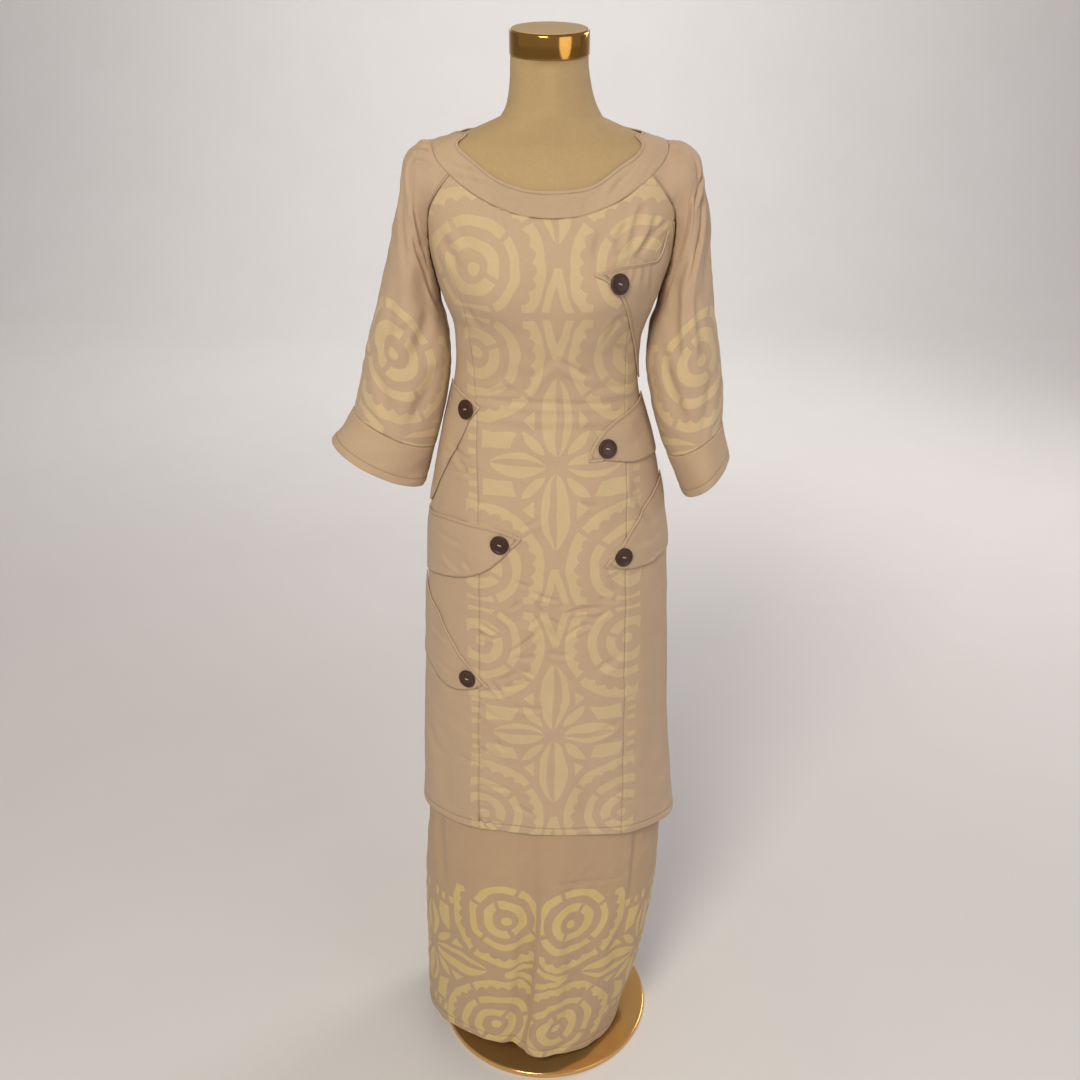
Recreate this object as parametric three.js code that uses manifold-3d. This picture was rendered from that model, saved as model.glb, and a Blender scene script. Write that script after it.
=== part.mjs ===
// A puletasi, a Samoan two-piece dress of tunic and long skirt, on a dress form with a round base.
// Millimetres, +Z up. The front faces -Y and the form's pole stands on the Z axis.
// "right" and "left" in names are the wearer's own, so right is at -X and left is at +X.

import * as THREE from "three";
import { mergeVertices } from "three/addons/utils/BufferGeometryUtils.js";
import Module from "manifold-3d";

const wasm = await Module();
wasm.setup();

// Cloth
const WALL = 1.5; // thickness of every cloth wall
const SEAM = 0.7; // gap between two pieces at a seam
const LIFT = 0.9; // clearance of a tab above the panel that it lies on
const TAB_WALL = 1.2;
const SKIRT_EASE = 0.7; // clearance of the skirt's waistband round the form

// Levels
const UNDERARM = 1235;
const WAIST = 1112;
const BAND_BOTTOM = 1086; // lower edge of the skirt's waistband

// Dress form
const NECK_TOP = 1537;
const CAP = { radius: 49.5, rise: 27, lid: 2.5, tilt: 9 };
const FORM_BOTTOM = 700;
const FLANGE = { radius: 66, thick: 9 };
const POLE_RADIUS = 11;
const BASE = { radius: 175, thick: 9, edge: 3 };
const HUB = { radius: 21, height: 26 };

// Buttons
const BUTTON = { radius: 13, thick: 3.4, dish: 1.0, rim: 3, hole: 1.2, holeApart: 5 };

// The tunic's outer surface: level, half width, depth in front of and behind the pole, sideways shift.
const TUNIC = [
  { z: 400, half: 202, front: 143, back: 139, shift: 4 },
  { z: 430, half: 200, front: 142, back: 138, shift: 4 },
  { z: 520, half: 193, front: 140, back: 136, shift: 2 },
  { z: 620, half: 187, front: 138, back: 134, shift: 0 },
  { z: 700, half: 183, front: 136, back: 132, shift: 1 },
  { z: 800, half: 177, front: 133, back: 131, shift: 1 },
  { z: 900, half: 171, front: 128, back: 129, shift: 1 },
  { z: 960, half: 164, front: 122, back: 122, shift: 0 },
  { z: 1000, half: 157, front: 116, back: 112, shift: 0 },
  { z: 1060, half: 143, front: 106, back: 97, shift: -1 },
  { z: 1110, half: 129, front: 99, back: 88, shift: -3 },
  { z: 1150, half: 123, front: 100, back: 86, shift: -2 },
  { z: 1180, half: 123, front: 105, back: 88, shift: -1 },
  { z: 1210, half: 128, front: 112, back: 93, shift: 1 },
  { z: 1250, half: 143, front: 119, back: 101, shift: 2 },
  { z: 1290, half: 156, front: 117, back: 107, shift: 3 },
  { z: 1320, half: 163, front: 108, back: 108, shift: 4 },
  { z: 1350, half: 168, front: 96, back: 105, shift: 4 },
  { z: 1384, half: 171, front: 80, back: 97, shift: 3 },
  { z: 1410, half: 168, front: 71, back: 88, shift: 2 },
  { z: 1425, half: 160, front: 65, back: 80, shift: 2 },
  { z: 1437, half: 147, front: 61, back: 74, shift: 2 },
  { z: 1446, half: 120, front: 57, back: 68, shift: 3 },
  { z: 1456, half: 92, front: 53, back: 62, shift: 3 },
  { z: 1467, half: 66, front: 50, back: 56, shift: 3 },
];
const SQUARE = 2.25; // exponent of every cross-section, 2 for an ellipse
const BUST = { x: 74, z: 1262, rise: 15, wide: 44, tall: 44 };

// How far the form's surface lies inside the tunic's.
const INSET = [
  { z: 700, in: 78 },
  { z: 706, in: 58 },
  { z: 722, in: 44 },
  { z: 760, in: 31 },
  { z: 800, in: 23 },
  { z: 860, in: 17 },
  { z: 900, in: 15 },
  { z: 1000, in: 15 },
  { z: 1060, in: 14 },
  { z: 1110, in: 12 },
  { z: 1150, in: 10 },
  { z: 1210, in: 8 },
  { z: 1262, in: 4.5 },
  { z: 1300, in: 4.5 },
  { z: 1354, in: 3.6 },
  { z: 1384, in: 3.3 },
  { z: 1437, in: 3.4 },
  { z: 1467, in: 2.9 },
];

// The form's neck above the shoulders.
const NECK = [
  { z: 1476, half: 57.5, front: 46, back: 50, shift: 3 },
  { z: 1490, half: 53, front: 45, back: 47, shift: 2 },
  { z: 1507, half: 50, front: 44.5, back: 45.5, shift: 1 },
  { z: 1522, half: 48.5, front: 44, back: 44.5, shift: 0 },
];

// The skirt's outer surface below its waistband.
const SKIRT = [
  { z: 0, half: 165, front: 158, back: 138, shift: -37 },
  { z: 50, half: 168.5, front: 158, back: 139, shift: -32 },
  { z: 96, half: 174.5, front: 157, back: 140, shift: -26.5 },
  { z: 145, half: 181, front: 155, back: 140, shift: -19 },
  { z: 296, half: 190, front: 150, back: 140, shift: -8 },
  { z: 377, half: 188, front: 143, back: 137, shift: -4 },
  { z: 450, half: 185, front: 137, back: 132, shift: 0 },
  { z: 520, half: 182, front: 133, back: 129, shift: 0 },
  { z: 620, half: 178, front: 130, back: 127, shift: 0 },
  { z: 700, half: 175, front: 128, back: 125, shift: 1 },
  { z: 800, half: 170, front: 126, back: 124, shift: 1 },
  { z: 900, half: 164, front: 121, back: 122, shift: 1 },
  { z: 1000, half: 151, front: 110, back: 106, shift: 0 },
  { z: 1060, half: 135, front: 98, back: 89, shift: -1 },
  { z: 1120, half: 122, front: 92, back: 82, shift: -3 },
];
// The vertical fold down the skirt's front: its ridge and valley in degrees from the front, and how deep it is.
const SKIRT_FOLD = { top: 620, ridge: 5, ridgeWide: 8, valley: -5, valleyWide: 4.5, depth: 13 };

// The skirt's hem, by degrees from the front. It rises towards the wearer's left and the back.
const SKIRT_HEM = [
  { deg: -180, z: 72 },
  { deg: -130, z: 52 },
  { deg: -95, z: 42 },
  { deg: -48, z: 56 },
  { deg: -25, z: 60 },
  { deg: -10, z: 55 },
  { deg: 0, z: 45 },
  { deg: 8, z: 37 },
  { deg: 24, z: 27 },
  { deg: 45, z: 19 },
  { deg: 60, z: 18 },
  { deg: 72, z: 30 },
  { deg: 95, z: 85 },
  { deg: 118, z: 106 },
  { deg: 150, z: 92 },
  { deg: 180, z: 72 },
];

// The princess seams, up to the raglan seam: their distance from the pole's axis on the wearer's right and left.
const PRINCESS = [
  { z: 400, right: 101, left: 117 },
  { z: 490, right: 100, left: 115 },
  { z: 690, right: 96, left: 112 },
  { z: 845, right: 93, left: 109 },
  { z: 990, right: 93, left: 107 },
  { z: 1106, right: 95, left: 103 },
  { z: 1206, right: 102, left: 103 },
  { z: 1243, right: 108, left: 108 },
  { z: 1290, right: 126, left: 121 },
  { z: 1328, right: 145, left: 143 },
  { z: 1347, right: 153, left: 153 },
];
// The raglan seam from the neckband to the underarm, in degrees from the centre front or back.
const RAGLAN_FRONT = [
  { t: 0, deg: 45, z: 1400 },
  { t: 0.2, deg: 55, z: 1377 },
  { t: 0.33, deg: 62, z: 1362 },
  { t: 0.45, deg: 67, z: 1347 },
  { t: 0.65, deg: 74, z: 1312 },
  { t: 0.85, deg: 82, z: 1268 },
  { t: 1, deg: 90, z: UNDERARM },
];
const RAGLAN_BACK = [
  { t: 0, deg: 45, z: 1418 },
  { t: 0.2, deg: 54, z: 1395 },
  { t: 0.45, deg: 66, z: 1348 },
  { t: 0.65, deg: 73, z: 1310 },
  { t: 0.85, deg: 81, z: 1267 },
  { t: 1, deg: 90, z: UNDERARM },
];

// Each sleeve from the neckband (t 0) past the underarm (t 1) to the cuff (t 2) and its hem (t 3): the outer line,
// the inner line, half the depth from front to back, how far the middle lies forward, and the main crease's depth.
const SLEEVE_RIGHT = [
  { t: 0, xo: 145, zo: 1437.5, xi: 118, zi: 1398, deep: 56, fore: 0, crease: 0 },
  { t: 0.2, xo: 165, zo: 1433, xi: 140, zi: 1377, deep: 54, fore: 0, crease: 0 },
  { t: 0.4, xo: 182, zo: 1417, xi: 150, zi: 1355, deep: 53, fore: 0, crease: 1 },
  { t: 0.6, xo: 188, zo: 1386, xi: 150, zi: 1320, deep: 56, fore: 0, crease: 4 },
  { t: 0.8, xo: 198, zo: 1346, xi: 148, zi: 1280, deep: 60, fore: 1, crease: 8 },
  { t: 1, xo: 210, zo: 1296, xi: 143, zi: UNDERARM, deep: 63, fore: 2, crease: 9 },
  { t: 1.2, xo: 224, zo: 1246, xi: 135, zi: 1203, deep: 65, fore: 4, crease: 8 },
  { t: 1.4, xo: 237, zo: 1202, xi: 131, zi: 1168, deep: 65, fore: 6, crease: 6 },
  { t: 1.6, xo: 248, zo: 1160, xi: 134, zi: 1128, deep: 64, fore: 8, crease: 4 },
  { t: 1.8, xo: 257, zo: 1124, xi: 143, zi: 1084, deep: 62, fore: 10, crease: 2 },
  { t: 2, xo: 266, zo: 1092, xi: 156, zi: 1038, deep: 60, fore: 12, crease: 1 },
  { t: 3, xo: 298, zo: 1046, xi: 173, zi: 982, deep: 63, fore: 15, crease: 0 },
];
const SLEEVE_LEFT = [
  { t: 0, xo: 149, zo: 1438, xi: 122, zi: 1398, deep: 56, fore: 0, crease: 0 },
  { t: 0.2, xo: 171, zo: 1435, xi: 144, zi: 1377, deep: 54, fore: 0, crease: 0 },
  { t: 0.4, xo: 190, zo: 1419, xi: 154, zi: 1355, deep: 53, fore: 0, crease: 1 },
  { t: 0.6, xo: 197, zo: 1390, xi: 154, zi: 1320, deep: 56, fore: 0, crease: 3 },
  { t: 0.8, xo: 206, zo: 1350, xi: 152, zi: 1280, deep: 60, fore: 1, crease: 8 },
  { t: 1, xo: 210, zo: 1302, xi: 146, zi: UNDERARM, deep: 64, fore: 2, crease: 10 },
  { t: 1.2, xo: 217, zo: 1252, xi: 137, zi: 1203, deep: 66, fore: 6, crease: 9 },
  { t: 1.4, xo: 224, zo: 1206, xi: 133, zi: 1166, deep: 66, fore: 10, crease: 7 },
  { t: 1.6, xo: 232, zo: 1162, xi: 137, zi: 1126, deep: 64, fore: 14, crease: 5 },
  { t: 1.8, xo: 238, zo: 1118, xi: 147, zi: 1080, deep: 62, fore: 18, crease: 3 },
  { t: 2, xo: 239, zo: 1080, xi: 164, zi: 1032, deep: 60, fore: 22, crease: 1 },
  { t: 3, xo: 250, zo: 1028, xi: 190, zi: 974, deep: 60, fore: 28, crease: 0 },
];
const CREASE = { deg: 118, wide: 20 }; // where the main crease runs on the front of each sleeve

// The stations of the raglan seam that its neighbours share. The princess seam ends at PRINCESS_END.
const RAGLAN_STOPS = [1, 0.82, 0.65, 0.5, 0.44, 0.28, 0.14, 0];
const PRINCESS_END = 0.44;

// The six buttoned tabs on the wearer's right (side -1) or left: the edges run from the side seam to the tip, and
// each point is a distance from the centre front and a level. Seat is the button's clearance from the tab's curve.
const TABS = {
  tab_bust: {
    side: 1,
    button: [86, 1279],
    seat: -0.2,
    upper: [
      [148, 1334], [143, 1314], [135, 1301], [124, 1300],
      [108, 1299], [94, 1299], [76, 1296], [56, 1290],
    ],
    lower: [
      [151, 1312], [140, 1264], [133, 1226], [142, 1190], [142, 1112],
      [124, 1126], [110, 1196], [94, 1254], [76, 1280], [56, 1290],
    ],
  },
  tab_waist_right: {
    side: -1,
    button: [106, 1104],
    seat: 1.1,
    upper: [[160, 1129], [130, 1127], [120, 1126], [110, 1121], [100, 1116], [90, 1109]],
    lower: [[180, 948], [163, 957], [146, 1000], [128, 1040], [113, 1068], [101, 1094], [90, 1109]],
  },
  tab_waist_left: {
    side: 1,
    button: [78, 1059],
    seat: 0.4,
    upper: [
      [160, 1122], [135, 1114], [115, 1105], [96, 1096],
      [80, 1086], [68, 1074], [59, 1060], [54, 1044],
    ],
    lower: [
      [170, 1030], [150, 1031], [136, 1034], [123, 1035],
      [109, 1036], [94, 1040], [74, 1044], [54, 1044],
    ],
  },
  tab_hip_right: {
    side: -1,
    button: [63, 931],
    seat: -0.2,
    upper: [[185, 942], [163, 946], [148, 951], [131, 954], [108, 954], [84, 953], [57, 948], [35, 941]],
    lower: [
      [190, 846], [172, 854], [154, 863], [138, 868], [122, 872], [106, 878],
      [90, 886], [76, 896], [62, 910], [48, 926], [35, 941],
    ],
  },
  tab_hip_left: {
    side: 1,
    button: [103, 909],
    seat: 0.4,
    upper: [
      [180, 1010], [161, 997], [147, 986], [134, 971],
      [121, 954], [108, 935], [94, 916], [78, 898],
    ],
    lower: [[190, 892], [172, 892], [155, 890], [139, 888], [123, 888], [107, 891], [92, 895], [78, 898]],
  },
  tab_thigh_right: {
    side: -1,
    button: [111, 720],
    seat: 0,
    upper: [
      [190, 850], [172, 834], [160, 815], [146, 792],
      [132, 769], [118, 749], [100, 729], [82, 711],
    ],
    lower: [[200, 742], [182, 722], [165, 706], [148, 698], [131, 696], [114, 701], [98, 707], [82, 711]],
  },
};

const rad = THREE.MathUtils.degToRad;

// A smooth curve through a table's column, read at the value "at" of its key column.
function read(table, key, name, at) {
  const last = table.length - 1;
  let i = 0;
  while (i < last - 1 && table[i + 1][key] < at) i += 1;
  const a = table[i];
  const b = table[i + 1];
  const before = table[Math.max(i - 1, 0)];
  const after = table[Math.min(i + 2, last)];
  const span = b[key] - a[key];
  const u = THREE.MathUtils.clamp((at - a[key]) / span, 0, 1);
  const slopeA = i > 0 ? (b[name] - before[name]) / (b[key] - before[key]) : (b[name] - a[name]) / span;
  const slopeB = i < last - 1 ? (after[name] - a[name]) / (after[key] - a[key]) : (b[name] - a[name]) / span;
  const uu = u * u;
  const uuu = uu * u;
  return (
    (2 * uuu - 3 * uu + 1) * a[name] +
    (uuu - 2 * uu + u) * span * slopeA +
    (3 * uu - 2 * uuu) * b[name] +
    (uuu - uu) * span * slopeB
  );
}

function smooth(from, to, at) {
  const rising = THREE.MathUtils.smoothstep(at, Math.min(from, to), Math.max(from, to));
  return from < to ? rising : 1 - rising;
}

const bump = (distance, width) => Math.exp(-((distance / width) ** 2));
const power = (value) => Math.sign(value) * Math.abs(value) ** (2 / SQUARE);

// A point of a cross-section at an angle from the front, turning towards +X.
function sectionPoint(table, angle, z) {
  const across = power(Math.sin(angle));
  const along = power(Math.cos(angle));
  const depth = read(table, "z", along > 0 ? "front" : "back", z);
  return new THREE.Vector3(
    read(table, "z", "shift", z) + read(table, "z", "half", z) * across,
    -depth * along,
    z,
  );
}

function tunicPoint(angle, z) {
  const p = sectionPoint(TUNIC, angle, z);
  if (Math.cos(angle) > 0) {
    const height = bump(z - BUST.z, BUST.tall);
    const both = bump(p.x - BUST.x, BUST.wide) + bump(p.x + BUST.x, BUST.wide);
    p.y -= BUST.rise * height * Math.cos(angle) ** 0.5 * both;
  }
  return p;
}

// The outward normal of a surface that a function gives by angle and level.
function normalOf(surface, angle, z) {
  const turn = 0.004;
  const step = 0.6;
  const across = surface(angle + turn, z).sub(surface(angle - turn, z));
  const up = surface(angle, z + step).sub(surface(angle, z - step));
  return across.cross(up).normalize();
}

function offsetPoint(surface, angle, z, distance) {
  return surface(angle, z).addScaledVector(normalOf(surface, angle, z), distance);
}

function formPoint(angle, z) {
  const p = offsetPoint(tunicPoint, angle, z, -read(INSET, "z", "in", z));
  return z < 1150 ? p.setZ(z) : p;
}

// The skirt's surface: on the form at its waistband, then hanging from the hips, with the front fold.
function skirtPoint(angle, z) {
  const loose = sectionPoint(SKIRT, angle, z);
  const low = 1 - smooth(60, SKIRT_FOLD.top, z);
  const turn = Math.atan2(Math.sin(angle), Math.cos(angle)) / rad(1);
  const ridge = bump(turn - SKIRT_FOLD.ridge, SKIRT_FOLD.ridgeWide);
  const valley = bump(turn - SKIRT_FOLD.valley, SKIRT_FOLD.valleyWide);
  loose.y -= SKIRT_FOLD.depth * low * (ridge - valley);
  const worn = smooth(1000, BAND_BOTTOM, z);
  if (worn === 0) return loose;
  return loose.lerp(offsetPoint(formPoint, angle, z, SKIRT_EASE + WALL), worn);
}

// The angle at which the tunic's front lies x from the pole's axis.
function frontAngle(x, z) {
  const off = x - read(TUNIC, "z", "shift", z);
  const share = Math.min(Math.abs(off) / read(TUNIC, "z", "half", z), 1);
  return Math.sign(off) * Math.asin(share ** (SQUARE / 2));
}

// The neckband's outer edge and its width, by angle from the front.
const neckline = (a) => 1409 - 19.4 * Math.cos(a) - 29 * Math.cos(2 * a) - 6.6 * Math.cos(3 * a);
const bandRise = (a) => 26.9 + 10.5 * Math.cos(2 * a) - 7.4 * Math.cos(4 * a);

// The hems, level by angle from the front.
const tunicHem = (a) => 445 + 14 * Math.cos(a) - 9 * Math.sin(a) + 6 * Math.cos(2 * a);
const skirtHem = (a) => {
  const deg = THREE.MathUtils.euclideanModulo(a / rad(1) + 180, 360) - 180;
  return read(SKIRT_HEM, "deg", "z", deg);
};

// A closed wall from rows of points on its outer side. Rows run upwards and points run towards +X seen from outside,
// so that the wall grows inwards. A ring's last point joins its first.
function wallGeometry(rows, wall, ring = false) {
  const across = rows[0].length;
  const count = rows.length;
  const at = (i, j) => rows[i][ring ? (j + across) % across : THREE.MathUtils.clamp(j, 0, across - 1)];
  const positions = [];
  const inner = [];
  for (let i = 0; i < count; i += 1) {
    for (let j = 0; j < across; j += 1) {
      const side = at(i, j + 1).clone().sub(at(i, j - 1));
      const up = at(Math.min(i + 1, count - 1), j).clone().sub(at(Math.max(i - 1, 0), j));
      const normal = side.cross(up).normalize();
      positions.push(...at(i, j).toArray());
      inner.push(...at(i, j).clone().addScaledVector(normal, -wall).toArray());
    }
  }
  const shift = count * across;
  positions.push(...inner);
  const index = [];
  const quad = (a, b, c, d) => index.push(a, b, c, a, c, d);
  const wide = ring ? across : across - 1;
  for (let i = 0; i < count - 1; i += 1) {
    for (let j = 0; j < wide; j += 1) {
      const k = (j + 1) % across;
      const a = i * across + j;
      const b = i * across + k;
      const c = (i + 1) * across + k;
      const d = (i + 1) * across + j;
      quad(a, b, c, d);
      index.push(shift + a, shift + c, shift + b, shift + a, shift + d, shift + c);
    }
  }
  for (let j = 0; j < wide; j += 1) {
    const k = (j + 1) % across;
    const top = (count - 1) * across;
    quad(j, shift + j, shift + k, k);
    quad(top + k, top + shift + k, top + shift + j, top + j);
  }
  if (!ring) {
    for (let i = 0; i < count - 1; i += 1) {
      const a = i * across;
      const b = a + across;
      quad(a, b, shift + b, shift + a);
      const c = a + across - 1;
      const d = c + across;
      quad(c, shift + c, shift + d, d);
    }
  }
  const geometry = new THREE.BufferGeometry();
  geometry.setAttribute("position", new THREE.Float32BufferAttribute(positions, 3));
  geometry.setIndex(index);
  return geometry;
}

// A solid skin from rings of points, closed by a fan at the bottom and at the top.
function solidGeometry(rings) {
  const across = rings[0].length;
  const positions = rings.flat().flatMap((p) => p.toArray());
  const index = [];
  for (let i = 0; i < rings.length - 1; i += 1) {
    for (let j = 0; j < across; j += 1) {
      const k = (j + 1) % across;
      const a = i * across + j;
      const b = i * across + k;
      index.push(a, b, b + across, a, b + across, a + across);
    }
  }
  const middle = (ring) => ring.reduce((sum, p) => sum.add(p), new THREE.Vector3()).divideScalar(across);
  const low = rings.length * across;
  const top = low - across;
  positions.push(...middle(rings[0]).toArray(), ...middle(rings.at(-1)).toArray());
  for (let j = 0; j < across; j += 1) {
    const k = (j + 1) % across;
    index.push(k, j, low, top + j, top + k, low + 1);
  }
  const geometry = new THREE.BufferGeometry();
  geometry.setAttribute("position", new THREE.Float32BufferAttribute(positions, 3));
  geometry.setIndex(index);
  return geometry;
}

const spread = (from, to, count) =>
  Array.from({ length: count }, (_, i) => from + ((to - from) * i) / (count - 1));
const seamTurn = (z) => SEAM / 2 / read(TUNIC, "z", "half", z);
const evenLevels = (stops) =>
  stops
    .slice(1)
    .reduce((all, [z, count], i) => all.concat(spread(stops[i][0], z, count + 1).slice(1)), [stops[0][0]]);

// The rows of the tunic's panels: even up to the underarm, then at the raglan seam's stations.
const BODY_LEVELS = evenLevels([[400], [900, 4], [1060, 2], [1180, 3], [1210, 1]]);
const BEND_FROM = 1170; // above this level the rows bend towards the neckline
const HEM_REACH = 520; // below this level the rows bend towards the hem

function stations(raglan, stops) {
  const low = BODY_LEVELS.map((z) => ({ z, seam: Math.PI / 2, t: 2 }));
  const seam = (t) => rad(read(raglan, "t", "deg", t));
  return low.concat(stops.map((t) => ({ z: read(raglan, "t", "z", t), seam: seam(t), t })));
}

// The princess seam's angle from the front, on one side.
function princess(side, z) {
  return side * frontAngle(side * read(PRINCESS, "z", side < 0 ? "right" : "left", z), z);
}

function hemmed(z, hem) {
  return z >= HEM_REACH ? z : HEM_REACH - ((HEM_REACH - z) * (HEM_REACH - hem)) / (HEM_REACH - BODY_LEVELS[0]);
}

// A row of a panel between two angles, bent towards the neckline and the hem. The bend is nothing at its ends.
function panelRow(z, from, to, across) {
  const bend = smooth(BEND_FROM, 1400, z);
  return spread(0, 1, across).map((u) => {
    const angle = THREE.MathUtils.lerp(from, to, u);
    const level = z + bend * (neckline(angle) - THREE.MathUtils.lerp(neckline(from), neckline(to), u));
    return tunicPoint(angle, hemmed(level, tunicHem(angle)));
  });
}

function frontRows() {
  return stations(RAGLAN_FRONT, RAGLAN_STOPS).map(({ z, seam, t }) => {
    const edge = (side) => (t > PRINCESS_END ? princess(side, z) : seam) - seamTurn(z);
    return panelRow(t > 0 ? z : z - SEAM, -edge(-1), edge(1), 15);
  });
}

function sideRows(side) {
  return stations(RAGLAN_FRONT, RAGLAN_STOPS.slice(0, 4)).map(({ z, seam, t }) => {
    const spare = t < 0.6 ? 5 : 2;
    const row = spread(princess(side, z) + spare * seamTurn(z), seam - seamTurn(z), 6).map((angle) => {
      return tunicPoint(side * angle, hemmed(z, tunicHem(side * angle)));
    });
    return side < 0 ? row.reverse() : row;
  });
}

function backRows() {
  return stations(RAGLAN_BACK, RAGLAN_STOPS).map(({ z, seam, t }) => {
    const edge = seam - seamTurn(z);
    return panelRow(t > 0 ? z : z - SEAM, Math.PI - edge, Math.PI + edge, 15);
  });
}

function neckbandRows() {
  const across = 60;
  return spread(0, 1, 4).map((v) =>
    spread(0, 2 * Math.PI, across + 1)
      .slice(0, -1)
      .map((a) => tunicPoint(a, neckline(a) + bandRise(a) * v)),
  );
}

// One half of a sleeve's row, from the outer line to the raglan seam or, below the underarm, to the inner line.
// The share runs from 0 at the outer line to 1 at the seam.
function sleeveHalf(table, side, t, share, back) {
  const at = (name) => read(table, "t", name, t);
  const outer = new THREE.Vector3(side * at("xo"), 0, at("zo"));
  let end = new THREE.Vector3(side * at("xi"), 0, at("zi"));
  let turn = Math.PI;
  if (t < 1) {
    const seam = back ? RAGLAN_BACK : RAGLAN_FRONT;
    const z = read(seam, "t", "z", t);
    const off = rad(read(seam, "t", "deg", t)) + 2 * seamTurn(z);
    end = tunicPoint(side * (back ? Math.PI - off : off), z);
    const reach = Math.min(Math.abs(end.y) / at("deep"), 1);
    turn = t < 0.12 ? Math.asin(reach) : Math.PI - Math.asin(reach);
    turn = THREE.MathUtils.lerp(rad(80), turn, smooth(0, 0.3, t));
  } else {
    end.y = 0;
  }
  const psi = turn * share;
  const along = (1 - Math.cos(psi)) / (1 - Math.cos(turn));
  const deep = t < 1 ? Math.abs(end.y) / Math.sin(turn) : at("deep");
  const p = outer.clone().lerp(new THREE.Vector3(end.x, 0, end.z), along);
  const middle = t < 1 ? 0 : at("fore");
  const forward = middle * smooth(0, 1, Math.min(share, 1 - share) * 4 + (t < 1 ? 0 : 1));
  p.y = (back ? deep : -deep) * Math.sin(psi) - forward;
  if (!back) {
    const dent = at("crease") * bump(psi / rad(1) - CREASE.deg, CREASE.wide);
    p.y += dent;
  }
  return p;
}

function sleevePoint(table, side, t, u) {
  const back = u > 0;
  const p = sleeveHalf(table, side, t, Math.abs(u), back);
  const fade = Math.max(0, 1 - t / 0.3) ** 2;
  if (fade > 0) {
    const first = sleeveHalf(table, side, 0, Math.abs(u), back);
    const seam = back ? RAGLAN_BACK : RAGLAN_FRONT;
    const corner = rad(seam[0].deg) + 2 * seamTurn(seam[0].z);
    const turn = THREE.MathUtils.lerp(Math.PI / 2, corner, Math.abs(u));
    const angle = side * (back ? Math.PI - turn : turn);
    p.addScaledVector(tunicPoint(angle, neckline(angle) - SEAM).sub(first), fade);
  }
  return p;
}

function sleeveRows(table, side) {
  const half = 11;
  return [2, 1.84, 1.67, 1.5, 1.34, 1.17, ...RAGLAN_STOPS].map((t) => {
    const us = spread(-1, 1, 2 * half - 1);
    const row = us.map((u) => {
      const slit = t >= 1 && Math.abs(u) === 1 ? 1 - SEAM / 2 / (Math.PI * read(table, "t", "deep", t)) : 1;
      return sleevePoint(table, side, t, u * slit);
    });
    return side < 0 ? row.reverse() : row;
  });
}

function cuffRows(table, side) {
  const across = 24;
  return [3, 2.55, 2.1, 2.01].map((t) => {
    const row = spread(-1, 1, across + 1)
      .slice(0, -1)
      .map((u) => sleevePoint(table, side, t, u));
    return side < 0 ? row.reverse() : row;
  });
}

function skirtRows(from, to, across) {
  const zs = evenLevels([[0], [145, 3], [377, 4], [700, 3], [1000, 3], [BAND_BOTTOM, 2]]);
  return zs.map((z) =>
    spread(rad(from), rad(to), across).map((angle) => {
      const reach = 377;
      const hem = skirtHem(angle);
      return skirtPoint(angle, z >= reach ? z : reach - ((reach - z) * (reach - hem)) / reach);
    }),
  );
}

function waistbandRows() {
  const across = 36;
  return [BAND_BOTTOM + SEAM, WAIST].map((z) =>
    spread(0, 2 * Math.PI, across + 1)
      .slice(0, -1)
      .map((angle) => offsetPoint(formPoint, angle, z, SKIRT_EASE + WALL)),
  );
}

// A solid body from a geometry, for cutting, and back.
function toSolid(geometry) {
  const bare = new THREE.BufferGeometry();
  bare.setAttribute("position", geometry.getAttribute("position"));
  bare.setIndex(geometry.getIndex());
  const merged = mergeVertices(bare, 1e-4);
  const vertProperties = new Float32Array(merged.getAttribute("position").array);
  const triVerts = new Uint32Array(merged.getIndex().array);
  return new wasm.Manifold(new wasm.Mesh({ numProp: 3, vertProperties, triVerts }));
}

function toGeometry(solid) {
  const { vertProperties, triVerts } = solid.getMesh();
  const geometry = new THREE.BufferGeometry();
  geometry.setAttribute("position", new THREE.Float32BufferAttribute(vertProperties, 3));
  geometry.setIndex(Array.from(triVerts));
  return geometry;
}

// A second skin over one half of the tunic's front, from the points of its panels moved out.
function overlayGeometry(side) {
  const front = frontRows();
  const flank = sideRows(side);
  const middle = (front[0].length - 1) / 2;
  const rows = flank.map((row, i) =>
    side > 0 ? front[i].slice(middle).concat(row) : row.concat(front[i].slice(0, middle + 1)),
  );
  const last = rows.length - 1;
  const moved = rows.map((row, i) =>
    row.map((p, j) => {
      const across = row[Math.min(j + 1, row.length - 1)].clone().sub(row[Math.max(j - 1, 0)]);
      const up = rows[Math.min(i + 1, last)][j].clone().sub(rows[Math.max(i - 1, 0)][j]);
      return p.clone().addScaledVector(across.cross(up).normalize(), LIFT + TAB_WALL);
    }),
  );
  return wallGeometry(moved, TAB_WALL);
}

// A tab is the part of the second skin inside its outline.
function tabGeometry({ side, upper, lower }) {
  const edge = (points) => {
    const turns = points.map(([x, z]) => new THREE.Vector2(side * x, z));
    return new THREE.SplineCurve(turns).getPoints(2 * points.length);
  };
  const outline = new THREE.Shape([...edge(upper), ...edge(lower).reverse().slice(1)]);
  const prism = new THREE.ExtrudeGeometry(outline, { depth: 220, bevelEnabled: false, curveSegments: 1 });
  prism.rotateX(Math.PI / 2);
  prism.translate(0, 20, 0);
  return toGeometry(toSolid(overlayGeometry(side)).intersect(toSolid(prism)));
}

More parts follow.
